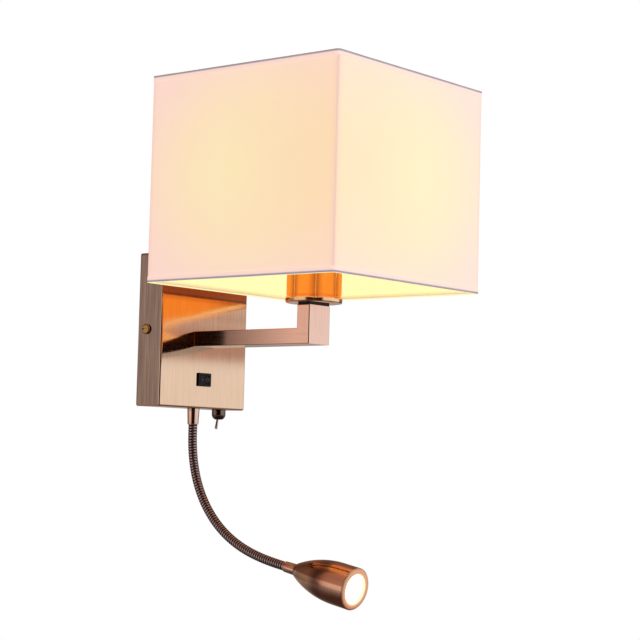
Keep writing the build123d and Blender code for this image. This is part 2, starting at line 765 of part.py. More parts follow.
carrier_level = holder_shoulder + carrier_ring_height / 2
arm_start = carrier_ring_diameter / 2
arm_end = corner_half * sqrt(2) - wire / 2
with BuildPart() as shade_carrier_arms:
    for corner in (45, 135, 225, 315):
        way = Vector(cos(radians(corner)), sin(radians(corner)), 0)
        root = Vector(0, -post_depth, carrier_level) + way * arm_start
        with BuildSketch(Plane(origin=root, z_dir=way)):
            Circle(wire / 2)
        extrude(amount=arm_end - arm_start)
save(shade_carrier_arms.part, "shade_carrier_arms")

with BuildPart() as shade_ring_nut:
    with BuildSketch(level(0, -post_depth, holder_shoulder + carrier_ring_height)):
        Circle(shade_nut_diameter / 2)
        Circle(holder_thread / 2 + screw_gap, mode=Mode.SUBTRACT)
    extrude(amount=shade_nut_height)
    chamfer(edges().group_by(Axis.Z)[-1].sort_by(SortBy.RADIUS)[-1], shade_nut_bevel)
save(shade_ring_nut.part, "shade_ring_nut")

# bending neck

ferrule_seat = under - ferrule_length
with BuildPart() as neck_base_ferrule:
    low = ferrule_low_diameter / 2
    stub_top = inner_floor + lock_nut_height + thread_end
    turned([(neck_bore / 2, stub_top), (ferrule_thread / 2, stub_top), (ferrule_thread / 2, under),
            (ferrule_top_diameter / 2, under), (low, ferrule_seat),
            (neck_diameter / 2 + slip_gap, ferrule_seat),
            (neck_diameter / 2 + slip_gap, ferrule_seat + neck_seat + seat_gap),
            (neck_bore / 2, ferrule_seat + neck_seat + seat_gap)], neck_back)
save(neck_base_ferrule.part, "neck_base_ferrule")

with BuildPart() as neck_lock_nut:
    with BuildSketch(level(0, -neck_back, inner_floor)):
        RegularPolygon(lock_nut_size / 2, 6, major_radius=False)
        Circle(ferrule_thread / 2 + screw_gap, mode=Mode.SUBTRACT)
    extrude(amount=lock_nut_height)
save(neck_lock_nut.part, "neck_lock_nut")

# The neck's centreline: straight for one diameter at each end, an arc along each link between them.
link_count = len(neck_bends)
link_length = neck_length / link_count
neck_runs = [(neck_diameter, 0.0), (link_length - neck_diameter, neck_bends[0])]
neck_runs += [(link_length, bend) for bend in neck_bends[1:-1]]
neck_runs += [(link_length - neck_diameter, neck_bends[-1]), (neck_diameter, 0.0)]


def neck_plane(distance):
    """Plane square to the neck at a distance along it: x stays level, z points along the neck."""
    y = -neck_back
    z = ferrule_seat
    turn = 0.0
    for run, bend in neck_runs:
        part = min(distance, run)
        swing = radians(bend * part / run)
        chord = part * (sin(swing / 2) / (swing / 2) if swing else 1)
        y -= chord * sin(turn + swing / 2)
        z -= chord * cos(turn + swing / 2)
        turn += swing
        distance -= part
        if distance <= 0:
            break
    along = Vector(0, -sin(turn), -cos(turn))
    return Plane(origin=Vector(0, y, z) + along * distance, x_dir=(1, 0, 0), z_dir=along)


crest = neck_diameter / 2
groove = crest - rib_depth
dome = crest - screw_gap
cup_sphere = dome + link_gap
cup_rim_run = sqrt(cup_sphere ** 2 - crest ** 2)
cup_collar_run = sqrt(cup_sphere ** 2 - (groove - rib_depth) ** 2)
cup_overrun = 0.7           # a link starts at this share of its cup's rim run, inside the cup
rib_steps = ((0.0, crest), (rib_crest_end, crest), (groove_start, groove), (groove_end, groove))
bore_steps = 6


def neck_link(start, rib_start, end, cup_at, dome_at):
    """One ribbed link with its bore, a cup for the last link's round end and a round end itself."""
    with BuildPart() as link:
        ribs = round((end - rib_start) / rib_pitch)
        pitch = (end - rib_start) / ribs
        if rib_start > start:
            with BuildSketch(neck_plane(start)):
                Circle(crest)
        for rib in range(ribs):
            for share, radius in rib_steps:
                with BuildSketch(neck_plane(rib_start + (rib + share) * pitch)):
                    Circle(radius)
        with BuildSketch(neck_plane(end)):
            Circle(crest)
        loft(ruled=True)
        if dome_at is not None:
            with Locations(neck_plane(dome_at).origin):
                Sphere(dome)
        if cup_at is not None:
            with Locations(neck_plane(cup_at).origin):
                Sphere(cup_sphere, mode=Mode.SUBTRACT)
        bore_start = start - neck_bore / 2
        bore_end = end + crest + neck_bore / 2
        for step in range(bore_steps + 1):
            with BuildSketch(neck_plane(bore_start + (bore_end - bore_start) * step / bore_steps)):
                Circle(neck_bore / 2)
        loft(ruled=True, mode=Mode.SUBTRACT)
    return link.part


joint_places = [link_length * place for place in range(1, link_count)]
starts = [-neck_seat] + [place + cup_rim_run * cup_overrun for place in joint_places]
rib_starts = [-neck_seat] + [place + cup_collar_run for place in joint_places]
ends = joint_places + [neck_length + neck_seat]
cups = [None] + joint_places
domes = joint_places + [None]
for number in range(link_count):
    link_part = neck_link(starts[number], rib_starts[number], ends[number], cups[number], domes[number])
    save(link_part, f"neck_link_{number + 1}")

# reading head

neck_end = neck_plane(neck_length)
head_way = neck_end.z_dir
head_axis = Axis(neck_end.origin, head_way)
head_section = Plane(origin=neck_end.origin, x_dir=head_way, z_dir=(1, 0, 0))


def turned_head(outline):
    """Turn an outline of (distance from the neck's end, radius) points about the head's axis."""
    with BuildSketch(head_section) as half:
        with BuildLine():
            Polyline(*outline, close=True)
        make_face()
    revolve(half.sketch, axis=head_axis)


head_rear = end_ferrule_length
head_front = head_rear + head_length
with BuildPart() as neck_end_ferrule:
    turned_head([(0, neck_diameter / 2 + slip_gap), (neck_seat + slip_gap, neck_diameter / 2 + slip_gap),
                 (neck_seat + slip_gap, neck_bore / 2), (head_rear + stub_length, neck_bore / 2),
                 (head_rear + stub_length, end_ferrule_stub / 2), (head_rear, end_ferrule_stub / 2),
                 (head_rear, end_ferrule_head_diameter / 2),
                 (end_ferrule_edge, end_ferrule_neck_diameter / 2 + end_ferrule_edge_rise),
                 (0, end_ferrule_neck_diameter / 2)])
save(neck_end_ferrule.part, "neck_end_ferrule")

head_radius = head_diameter / 2
swell = head_radius - head_rear_diameter / 2
nose_arc = (head_nose_length ** 2 + swell ** 2) / (2 * swell)


def head_radius_at(distance):
    """Radius of the head's outside: a circular arc that runs out tangent to a cylinder."""
    short = max(head_nose_length - distance, 0)
    return head_radius - nose_arc + sqrt(nose_arc ** 2 - short ** 2)


def shell_outline(inset, start, finish):
    """Head's half section, drawn in by an inset, between two distances from its rear."""
    nose = head_rear + head_nose_length
    with BuildLine() as outline:
        first = (head_rear + start, head_radius_at(start) - inset)
        middle = (start + head_nose_length) / 2
        bow = ThreePointArc(first, (head_rear + middle, head_radius_at(middle) - inset),
                            (nose, head_radius - inset))
        Polyline(bow @ 1, (head_rear + finish, head_radius - inset), (head_rear + finish, 0),
                 (head_rear + start, 0), first)
    make_face(outline.edges())


head_lip = min(head_lip_round, head_wall * round_share)
with BuildPart() as head_shell:
    with BuildSketch(head_section):
        shell_outline(0, 0, head_length)
    revolve(axis=head_axis)
    fillet(edges().filter_by(GeomType.CIRCLE).sort_by(head_axis)[-1], head_lip)
    with BuildSketch(head_section):
        shell_outline(head_wall, head_rear_wall, head_length)
    revolve(axis=head_axis, mode=Mode.SUBTRACT)
    with BuildSketch(neck_end.offset(head_rear)):
        Circle(end_ferrule_stub / 2 + screw_gap)
    extrude(amount=head_rear_wall, mode=Mode.SUBTRACT)
    grub_plane = Plane(origin=neck_end.origin + head_way * (head_rear + grub_screw_place),
                       x_dir=head_way, z_dir=(-1, 0, 0))
    with BuildSketch(grub_plane):
        Circle(grub_screw_size / 2 + screw_gap)
    extrude(amount=head_radius, mode=Mode.SUBTRACT)
save(head_shell.part, "head_shell")

grub_outer = head_radius_at(grub_screw_place) - grub_recess
with BuildPart() as head_grub_screw:
    with BuildSketch(grub_plane.offset(grub_outer)):
        Circle(grub_screw_size / 2)
        RegularPolygon(grub_socket / 2, 6, mode=Mode.SUBTRACT)
    extrude(amount=-grub_screw_length / 2)
    with BuildSketch(grub_plane.offset(grub_outer - grub_screw_length / 2)):
        Circle(grub_screw_size / 2)
    extrude(amount=-grub_screw_length / 2)
save(head_grub_screw.part, "head_grub_screw")

bezel_inner = head_radius - ring_width
cavity = head_radius - head_wall - slip_gap
lens_radius = bezel_inner + lens_lip
ring_back = head_front - ring_height
with BuildPart() as head_front_ring:
    ring_outer = head_radius - head_lip
    turned_head([(head_front + ring_proud, bezel_inner), (head_front + ring_proud, ring_outer),
                 (head_front, ring_outer), (head_front, cavity), (ring_back, cavity),
                 (ring_back, bezel_inner + ring_bevel)])
save(head_front_ring.part, "head_front_ring")

lens_back = ring_back - lens_thickness
with BuildPart() as head_lens:
    with BuildSketch(neck_end.offset(lens_back)):
        Circle(lens_radius)
    extrude(amount=lens_thickness)
save(head_lens.part, "head_lens")

board_front = lens_back - reflector_depth
board_back = board_front - board_thickness
with BuildPart() as head_reflector:
    mouth = lens_radius - reflector_lip
    turned_head([(lens_back, mouth), (lens_back, cavity), (lens_back - reflector_flange, cavity),
                 (lens_back - reflector_flange, mouth + reflector_wall),
                 (board_front, reflector_foot + reflector_wall), (board_front, reflector_foot)])
save(head_reflector.part, "head_reflector")

board_radius = head_radius_at(board_back - head_rear) - head_wall - board_gap
with BuildPart() as head_led_board:
    with BuildSketch(neck_end.offset(board_back)):
        Circle(board_radius)
    extrude(amount=board_thickness)
    with BuildSketch(neck_end.offset(board_front)):
        Circle(reflector_foot - led_gap)
    extrude(amount=led_height)
save(head_led_board.part, "head_led_board")

sink_back = board_back - sink_length
sink_rear_radius = head_radius_at(sink_back - head_rear) - head_wall - seat_gap
with BuildPart() as head_heat_sink:
    with BuildSketch(neck_end.offset(board_back)):
        Circle(sink_rear_radius)
        Circle(neck_bore / 2, mode=Mode.SUBTRACT)
    extrude(amount=-sink_length)
save(head_heat_sink.part, "head_heat_sink")

for place in joint_places:
    print("neck joint", [round(value, 3) for value in neck_plane(place).origin])
print("neck end", [round(value, 3) for value in neck_end.origin], "way", head_way)
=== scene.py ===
import bmesh
import bpy
import numpy as np
from math import cos, pi, radians, sin
from mathutils import Matrix, Vector
from types import SimpleNamespace


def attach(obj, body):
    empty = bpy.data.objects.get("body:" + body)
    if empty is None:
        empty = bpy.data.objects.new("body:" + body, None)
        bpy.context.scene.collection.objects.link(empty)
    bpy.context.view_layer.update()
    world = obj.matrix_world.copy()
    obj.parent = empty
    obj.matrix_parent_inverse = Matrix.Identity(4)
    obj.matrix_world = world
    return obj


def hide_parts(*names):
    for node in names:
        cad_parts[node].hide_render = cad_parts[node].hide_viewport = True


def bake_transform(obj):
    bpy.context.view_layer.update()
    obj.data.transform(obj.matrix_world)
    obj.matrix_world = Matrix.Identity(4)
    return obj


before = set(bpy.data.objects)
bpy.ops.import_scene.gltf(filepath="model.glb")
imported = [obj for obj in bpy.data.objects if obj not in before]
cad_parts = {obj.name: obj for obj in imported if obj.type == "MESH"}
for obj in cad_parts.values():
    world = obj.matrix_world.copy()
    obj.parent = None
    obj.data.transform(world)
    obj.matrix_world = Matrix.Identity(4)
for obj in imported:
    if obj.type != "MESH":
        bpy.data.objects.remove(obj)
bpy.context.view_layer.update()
scene = bpy.context.scene
scene.view_settings.view_transform = "Standard"
mm = 0.001

# Bedside wall lamp: copper plated box and arm, lit square shade, reading head on a bending neck.
# The middle of the box's back is the origin, +X right, +Y into the wall, +Z up.


def linear(hexColour, level=1.0):
    # sRGB to linear: c/12.92 up to 0.04045, above it ((c + 0.055)/1.055) to the power 2.4
    values = np.array([int(hexColour[place:place + 2], 16) for place in (0, 2, 4)]) / 255
    values = np.where(values <= 0.04045, values / 12.92, ((values + 0.055) / 1.055) ** 2.4) * level
    return (*(float(value) for value in values), 1.0)


def grey(value):
    return (value, value, value, 1.0)


def feed(node, inputs):
    # an input is a value, another node's socket, or a node, which stands for its first output
    for name, value in inputs.items():
        if isinstance(value, bpy.types.Node):
            value = value.outputs[0]
        if isinstance(value, bpy.types.NodeSocket):
            node.id_data.links.new(value, node.inputs[name])
        else:
            node.inputs[name].default_value = value


def addNode(tree, kind, inputs=None, stops=None, **settings):
    # one node with its settings, its inputs and a ramp's stops
    made = tree.nodes.new("ShaderNode" + kind)
    for name, value in settings.items():
        setattr(made, name, value)
    feed(made, inputs or {})
    if stops:
        ramp = made.color_ramp.elements
        while len(ramp) < len(stops):
            ramp.new(0.5)
        for element, (place, colour) in zip(ramp, stops):
            element.position = place
            element.color = colour
    return made


def newFinish(name, **sockets):
    # a material with its shader's plain values set
    made = bpy.data.materials.new(name)
    made.use_nodes = True
    shader = made.node_tree.nodes["Principled BSDF"]
    feed(shader, {socket.replace("_", " "): value for socket, value in sockets.items()})
    return made, made.node_tree, shader


# camera, solved from the photograph's straight edges
print("camera")
view = {"lens": 104.676, "place": (-1.09344, -1.02503, -0.101216),
        "yaw": -51.0826, "pitch": 4.4073, "roll": 1.4687}
yaw, pitch, roll = (radians(view[name]) for name in ("yaw", "pitch", "roll"))
ahead = Vector((sin(-yaw) * cos(pitch), cos(yaw) * cos(pitch), sin(pitch)))
levelRight = Vector((cos(yaw), sin(yaw), 0))
levelUp = levelRight.cross(ahead)
rightWay = cos(roll) * levelRight + sin(roll) * levelUp
upWay = cos(roll) * levelUp - sin(roll) * levelRight
camera = bpy.data.objects.new("camera", bpy.data.cameras.new("camera"))
camera.data.lens = view["lens"]
camera.data.sensor_width = 36
camera.data.clip_start = 0.05
camera.data.clip_end = 20
camera.matrix_world = Matrix.LocRotScale(
    Vector(view["place"]), Matrix((rightWay, upWay, -ahead)).transposed(), None)
scene.collection.objects.link(camera)
scene.camera = camera

# studio: white to the camera, an even level on the lamp, soft light and dark walls for the metal to mirror
print("studio")
studio = {"level": 0.45, "floorDrop": 0.475, "floorSize": 2.0, "aim": (0, -0.12, 0),
          "lamps": {"key": ((0.9, -2.3, 1.1), 2.0, 17.0), "fill": ((-2.3, -0.9, 0.4), 1.6, 7.0)}}
world = bpy.data.worlds.new("studio")
scene.world = world
world.use_nodes = True
tree = world.node_tree
tree.nodes.clear()
ray = addNode(tree, "LightPath").outputs
way = addNode(tree, "SeparateXYZ", {"Vector": addNode(tree, "TexCoord").outputs["Generated"]}).outputs
towards = addNode(tree, "Math", {0: way["Y"], 1: -1.0}, operation="MULTIPLY")
turnRound = addNode(tree, "Math", {0: way["X"], 1: towards}, operation="ARCTAN2")
share = addNode(tree, "MapRange", {"Value": turnRound, "From Min": -pi, "From Max": pi})
# round the lamp, from the wall behind it (0) by its left, its front (0.5) and its right
walls = addNode(tree, "ValToRGB", {"Fac": share}, stops=[
    (0.0, (0.26, 0.21, 0.18, 1)), (0.06, (0.38, 0.3, 0.25, 1)), (0.108, (0.28, 0.22, 0.2, 1)),
    (0.119, (0.85, 0.66, 0.56, 1)), (0.20, (0.91, 0.76, 0.66, 1)), (0.25, (0.9, 0.82, 0.77, 1)),
    (0.277, (0.05, 0.02, 0.018, 1)), (0.34, (0.02, 0.006, 0.008, 1)), (0.447, (0.02, 0.006, 0.008, 1)),
    (0.475, grey(0.92)), (0.60, grey(1.0)), (0.69, grey(0.97)),
    (0.715, (0.14, 0.11, 0.11, 1)), (0.80, (0.3, 0.24, 0.22, 1)), (0.86, (0.5, 0.4, 0.36, 1)),
    (0.90, (0.5, 0.4, 0.36, 1)), (0.94, (0.26, 0.21, 0.18, 1)), (1.0, (0.26, 0.21, 0.18, 1))])
# from straight down (0) to straight up (1), the height of the lamp at 0.5
height = addNode(tree, "MapRange", {"Value": way["Z"], "From Min": -1.0, "From Max": 1.0})
heights = addNode(tree, "ValToRGB", {"Fac": height}, stops=[
    (0.0, (0.16, 0.09, 0.07, 1)), (0.3, (0.3, 0.2, 0.16, 1)), (0.42, grey(0.85)), (0.5, grey(0.97)),
    (0.54, grey(1.0)), (0.562, grey(0.95)), (0.5685, grey(0.82)), (0.576, (0.62, 0.48, 0.43, 1)),
    (0.584, (0.54, 0.37, 0.32, 1)), (0.7, (0.5, 0.35, 0.29, 1)),
    (0.8, (0.45, 0.31, 0.25, 1)), (0.9, (0.6, 0.36, 0.22, 1)), (1.0, grey(0.9))])
room = addNode(tree, "MixRGB", {"Fac": 1.0, "Color1": walls, "Color2": heights}, blend_type="MULTIPLY")
plain = addNode(tree, "MixRGB", {"Fac": ray["Is Glossy Ray"], "Color1": grey(studio["level"]),
                                 "Color2": room})
clear = addNode(tree, "Math", {0: ray["Is Camera Ray"], 1: ray["Is Transmission Ray"]}, operation="MAXIMUM")
seen = addNode(tree, "MixRGB", {"Fac": clear, "Color1": plain, "Color2": grey(1.0)})
addNode(tree, "OutputWorld", {"Surface": addNode(tree, "Background", {"Color": seen})})

for name, (place, size, power) in studio["lamps"].items():
    lamp = bpy.data.objects.new(name, bpy.data.lights.new(name, "AREA"))
    lamp.data.shape = "SQUARE"
    lamp.data.size = size
    lamp.data.energy = power
    lamp.visible_glossy = False
    towardsAim = Vector(studio["aim"]) - Vector(place)
    lamp.matrix_world = Matrix.LocRotScale(Vector(place), towardsAim.to_track_quat("-Z", "Y"), None)
    scene.collection.objects.link(lamp)

# painted floor, well below the lamp: nearly white, dull, with faint roller marks
floorPaint, tree, shader = newFinish("painted studio floor", Roughness=0.7, Emission_Color=grey(1.0))
floorPlace = addNode(tree, "TexCoord").outputs["Object"]
rolled = addNode(tree, "TexNoise", {"Vector": floorPlace, "Scale": 9.0})
paint = addNode(tree, "ValToRGB", {"Fac": rolled}, stops=[(0.3, linear("E3E3E1")), (0.7, linear("E9E9E7"))])
# painted shadow: the metal mirrors a floor that is darker under the lamp than further out
ray = addNode(tree, "LightPath").outputs
fromLamp = addNode(tree, "VectorMath", {0: floorPlace, 1: (0, -0.2, -studio["floorDrop"])},
                   operation="DISTANCE")
shaded = addNode(tree, "ValToRGB", {"Fac": fromLamp.outputs["Value"]}, stops=[
    (0.35, linear("5E4036")), (0.9, linear("D2C2B8"))])
feed(shader, {
    "Base Color": addNode(tree, "MixRGB", {"Fac": ray["Is Glossy Ray"], "Color1": paint, "Color2": shaded}),
    "Emission Strength": addNode(tree, "Math", {0: ray["Is Camera Ray"], 1: 0.35}, operation="MULTIPLY")})
half, drop = studio["floorSize"] / 2, -studio["floorDrop"]
floorMesh = bpy.data.meshes.new("floor")
floorMesh.from_pydata([(-half, -half, drop), (half, -half, drop), (half, half, drop), (-half, half, drop)],
                      [], [(0, 1, 2, 3)])
floorMesh.materials.append(floorPaint)
floor = bpy.data.objects.new("floor", floorMesh)
scene.collection.objects.link(floor)


def roundCorners(corners, steps=5):
    # each corner has a place and a radius: between unit sides a and b at P its arc is drawn
    # about P + (a + b)/|a + b| times r/sin(half the angle)
    corners = np.array(corners, float)
    points, radii = corners[:, :2], corners[:, 2]
    toBefore, toAfter = np.roll(points, 1, 0) - points, np.roll(points, -1, 0) - points
    toBefore /= np.linalg.norm(toBefore, axis=1, keepdims=True)
    toAfter /= np.linalg.norm(toAfter, axis=1, keepdims=True)
    halfAngle = np.arccos(np.clip((toBefore * toAfter).sum(1), -1, 1)) / 2
    # a corner that is sharp or lies on a straight side keeps a radius too small to see
    sharp, straightOn = 1e-4, 1.565
    radii = np.where(halfAngle > straightOn, sharp, np.maximum(radii, sharp))
    middle = toBefore + toAfter
    middle /= np.maximum(np.linalg.norm(middle, axis=1, keepdims=True), 1e-9)
    centre = points + middle * (radii / np.sin(halfAngle))[:, None]
    run = (radii / np.tan(halfAngle))[:, None]
    first, last = points + toBefore * run - centre, points + toAfter * run - centre
    sweep = np.maximum(np.pi - 2 * halfAngle, 1e-5)[:, None]
    shares = np.linspace(0, 1, steps + 1)[None, :]
    arcs = (np.sin((1 - shares) * sweep)[..., None] * first[:, None]
            + np.sin(shares * sweep)[..., None] * last[:, None]) / np.sin(sweep)[..., None]
    made = (centre[:, None] + arcs).reshape(-1, 2)
    return made[np.r_[True, np.linalg.norm(np.diff(made, axis=0), axis=1) > 1e-3]]


joinDistance = 2e-6


def gridPiece(name, points, materials, smoothAngle=35, rowMaterial=None, uv=None):
    # a grid of points in millimetres, rows by columns; edges that meet are joined and poles closed
    rows, columns = points.shape[:2]
    index = np.arange(rows * columns).reshape(rows, columns)
    faces = np.stack([index[:-1, :-1], index[:-1, 1:], index[1:, 1:], index[1:, :-1]], -1).reshape(-1, 4)
    mesh = bpy.data.meshes.new(name)
    mesh.vertices.add(rows * columns)
    mesh.vertices.foreach_set("co", (points * mm).astype(np.float32).ravel())
    mesh.loops.add(faces.size)
    mesh.loops.foreach_set("vertex_index", faces.ravel().astype(np.int32))
    mesh.polygons.add(len(faces))
    mesh.polygons.foreach_set("loop_start", np.arange(0, faces.size, 4, dtype=np.int32))
    if rowMaterial is not None:
        mesh.polygons.foreach_set("material_index", np.repeat(rowMaterial, columns - 1).astype(np.int32))
    mesh.update(calc_edges=True)
    if uv is None:
        # u is the way round at the middle row, v the way along the section
        along = np.r_[0, np.cumsum(np.linalg.norm(np.diff(points[:, 0], axis=0), axis=1))]
        around = np.r_[0, np.cumsum(np.linalg.norm(np.diff(points[rows // 2], axis=0), axis=1))]
        uv = np.stack(np.broadcast_arrays(around[None, :], along[:, None]), -1)
    layer = mesh.uv_layers.new(name="surface")
    layer.data.foreach_set("uv", (uv.reshape(-1, 2)[faces.ravel()] * mm).astype(np.float32).ravel())
    for material in materials:
        mesh.materials.append(material)
    body = bmesh.new()
    body.from_mesh(mesh)
    bmesh.ops.remove_doubles(body, verts=body.verts, dist=joinDistance)
    bmesh.ops.recalc_face_normals(body, faces=body.faces)
    body.to_mesh(mesh)
    body.free()
    mesh.shade_smooth()
    mesh.set_sharp_from_angle(angle=radians(smoothAngle))
    made = bpy.data.objects.new(name, mesh)
    scene.collection.objects.link(made)
    return made


def turned(name, profile, material, centre, along=(0, 0, 1), across=(1, 0, 0), turns=96, smoothAngle=35):
    # centre + along times the height + (across cos t + third sin t) times the radius, t once round
    along, across = np.array(along, float), np.array(across, float)
    angle = np.linspace(0, 2 * np.pi, turns + 1)
    ring = across * np.cos(angle)[:, None] + np.cross(along, across) * np.sin(angle)[:, None]
    profile = np.vstack([profile, profile[:1]])
    points = (np.array(centre, float) + profile[:, 1, None, None] * along
              + profile[:, 0, None, None] * ring[None])
    return gridPiece(name, points, [material], smoothAngle)


def setOn(piece, body, slotName, *nodes):
    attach(piece, body)
    if nodes:
        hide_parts(*nodes)
    return piece


# finishes
print("finishes")


def streaksAlong(tree, coordinates, grain):
    # brushing marks, drawn out along the axis with the smallest number
    scaled = addNode(tree, "Mapping", {"Vector": coordinates, "Scale": grain})
    return addNode(tree, "TexNoise", {"Vector": scaled, "Scale": 1.0, "Detail": 4.0, "Roughness": 0.62})


def brushedMetal(name, tones, grain, roughness, bump, byUv=False, upperGrain=None, layers=()):
    # plated metal brushed one way: streaks along the brushing change its tone, gloss and surface a little;
    # a layer is a function with its values, which changes the tone that the ones before it left
    made, tree, shader = newFinish(name, Metallic=1.0)
    coordinates = addNode(tree, "TexCoord").outputs["UV" if byUv else "Object"]
    axes = addNode(tree, "SeparateXYZ", {"Vector": coordinates}).outputs
    streaks = streaksAlong(tree, coordinates, grain)
    if upperGrain:
        level, turnedGrain = upperGrain
        above = addNode(tree, "Math", {0: axes["Z"], 1: level}, operation="GREATER_THAN")
        streaks = addNode(tree, "MixRGB", {"Fac": above, "Color1": streaks,
                                           "Color2": streaksAlong(tree, coordinates, turnedGrain)})
    tone = addNode(tree, "ValToRGB", {"Fac": streaks}, stops=[
        (place, linear(shade)) for place, shade in zip((0.3, 0.5, 0.7), tones)])
    lift = addNode(tree, "Bump", {"Height": streaks, "Strength": bump, "Distance": 0.0001})
    metal = SimpleNamespace(tree=tree, coordinates=coordinates, axes=axes, tone=tone, lift=lift)
    for addLayer, values in layers:
        addLayer(metal, **values)
    clouds = addNode(tree, "TexNoise", {"Vector": coordinates, "Scale": 28.0, "Detail": 2.0})
    value = addNode(tree, "MapRange", {"Value": clouds, "To Min": 0.97, "To Max": 1.03})
    feed(shader, {
        "Base Color": addNode(tree, "HueSaturation", {"Color": metal.tone, "Value": value}),
        "Roughness": addNode(tree, "MapRange", {"Value": streaks, "From Min": 0.3, "From Max": 0.7,
                                                "To Min": roughness[0], "To Max": roughness[1]}),
        "Normal": lift})
    return made


def leaningFaceWithPaintedShade(metal, low, high, stops):
    # the cover's front by height in mm: how far it leans back, and its tone, a painted shade that darkens and
    # reddens it just under the lamp shade, squared for green and cubed for blue; a ramp's colour ends at 1
    # and is rough near 0, so the lean is held there times 5
    tree, held = metal.tree, 5
    upTheFace = addNode(tree, "MapRange", {"Value": metal.axes["Z"], "From Min": low, "From Max": high})
    leanAndPaintedShade = addNode(tree, "ValToRGB", {"Fac": upTheFace}, stops=[
        ((level * mm - low) / (high - low), (lean * held, depth, 0, 1)) for level, lean, depth in stops])
    pressed = addNode(tree, "SeparateXYZ", {"Vector": leanAndPaintedShade}).outputs
    onFront = addNode(tree, "MapRange", {"Value": metal.axes["Y"], "From Min": -0.0235, "From Max": -0.0245})
    squared, cubed = (addNode(tree, "Math", {0: pressed["Y"], 1: power}, operation="POWER")
                      for power in (2.0, 3.0))
    paintedShade = addNode(tree, "CombineXYZ", {"X": pressed["Y"], "Y": squared, "Z": cubed})
    metal.tone = addNode(tree, "MixRGB", {"Fac": onFront, "Color1": metal.tone, "Color2": paintedShade},
                         blend_type="MULTIPLY")
    share = addNode(tree, "MapRange", {"Value": onFront, "To Max": 1 / held})
    lean = addNode(tree, "Math", {0: pressed["X"], 1: share}, operation="MULTIPLY")
    leaning = addNode(tree, "VectorMath", {0: addNode(tree, "NewGeometry").outputs["Normal"],
                                           1: addNode(tree, "CombineXYZ", {"Z": lean})}, operation="ADD")
    feed(metal.lift, {"Normal": addNode(tree, "VectorMath", {0: leaning}, operation="NORMALIZE")})


def darkerSidesShadedBelow(metal, side, underside, shades, grain):
    # the sides are darker, mottled; the underside is painted shade, nearly black
    tree = metal.tree
    outward = addNode(tree, "Math", {0: metal.axes["X"]}, operation="ABSOLUTE")
    onSide = addNode(tree, "MapRange", {"Value": outward, "From Min": side - 0.00004, "From Max": side})
    below = addNode(tree, "Math", {0: metal.axes["Z"], 1: underside}, operation="LESS_THAN")
    scaled = addNode(tree, "Mapping", {"Vector": metal.coordinates, "Scale": grain})
    mottling = addNode(tree, "TexNoise", {"Vector": scaled, "Scale": 1.0, "Detail": 3.0})
    aged = addNode(tree, "ValToRGB", {"Fac": mottling}, stops=[
        (place, linear(shade)) for place, shade in zip((0.3, 0.5, 0.7), shades)])
    sideTone = addNode(tree, "MixRGB", {"Fac": onSide, "Color1": metal.tone, "Color2": aged})
    metal.tone = addNode(tree, "MixRGB", {"Fac": below, "Color1": sideTone, "Color2": linear("2E201C")})


def paintedDarkCorners(metal, side, front, colour):
    # painted reflection: a dark line along the post's front corners, for 0.2 mm each way
    tree, width = metal.tree, 0.0002
    outward = addNode(tree, "Math", {0: metal.axes["X"]}, operation="ABSOLUTE")
    wide = addNode(tree, "MapRange", {"Value": outward, "From Min": side - width, "From Max": side})
    forward = addNode(tree, "MapRange", {"Value": metal.axes["Y"], "From Min": front,
                                         "From Max": front - width})
    corner = addNode(tree, "Math", {0: wide, 1: forward}, operation="MULTIPLY")
    metal.tone = addNode(tree, "MixRGB", {"Fac": corner, "Color1": metal.tone, "Color2": linear(colour)})


def paintedShadeNearBox(metal, start, end, least):
    # painted shade: darker towards the box
    nearBox = addNode(metal.tree, "MapRange", {"Value": metal.axes["Y"], "From Min": start, "From Max": end,
                                               "To Min": 1.0, "To Max": least})
    metal.tone = addNode(metal.tree, "HueSaturation", {"Color": metal.tone, "Value": nearBox})


def paintedLightAndShadeAlong(metal, length, stops):
    # painted light and shade along the piece: a tone by shares of the given length
    distance = addNode(metal.tree, "MapRange", {"Value": metal.axes["Y"], "From Max": length})
    depth = addNode(metal.tree, "ValToRGB", {"Fac": distance}, stops=[
        (place, (*colour, 1.0)) for place, colour in stops])
    metal.tone = addNode(metal.tree, "MixRGB", {"Fac": 1.0, "Color1": metal.tone, "Color2": depth},
                         blend_type="MULTIPLY")


def groovesDirtAndShade(metal, crest, groove, colour):
    # dirt and painted shadow between the ribs
    between = addNode(metal.tree, "MapRange", {"Value": metal.axes["Y"], "From Min": crest,
                                               "From Max": groove})
    metal.tone = addNode(metal.tree, "MixRGB", {"Fac": between, "Color1": metal.tone,
                                                "Color2": linear(colour)})


def plainSurface(name, tones, grit, roughness, bump, metallic=0.0, **sockets):
    # moulded or rolled surface: grit of the mould or die, a little lighter and darker, and a little rough
    made, tree, shader = newFinish(name, Metallic=metallic, **sockets)
    grains = addNode(tree, "TexNoise", {"Vector": addNode(tree, "TexCoord").outputs["Object"],
                                        "Scale": 1 / grit, "Detail": 3.0})
    feed(shader, {
        "Base Color": addNode(tree, "ValToRGB", {"Fac": grains}, stops=[
            (0.35, linear(tones[0])), (0.65, linear(tones[1]))]),
        "Roughness": addNode(tree, "MapRange", {"Value": grains, "From Min": 0.3, "From Max": 0.7,
                                                "To Min": roughness[0], "To Max": roughness[1]}),
        "Normal": addNode(tree, "Bump", {"Height": grains, "Strength": bump, "Distance": 0.0001})})
    return made


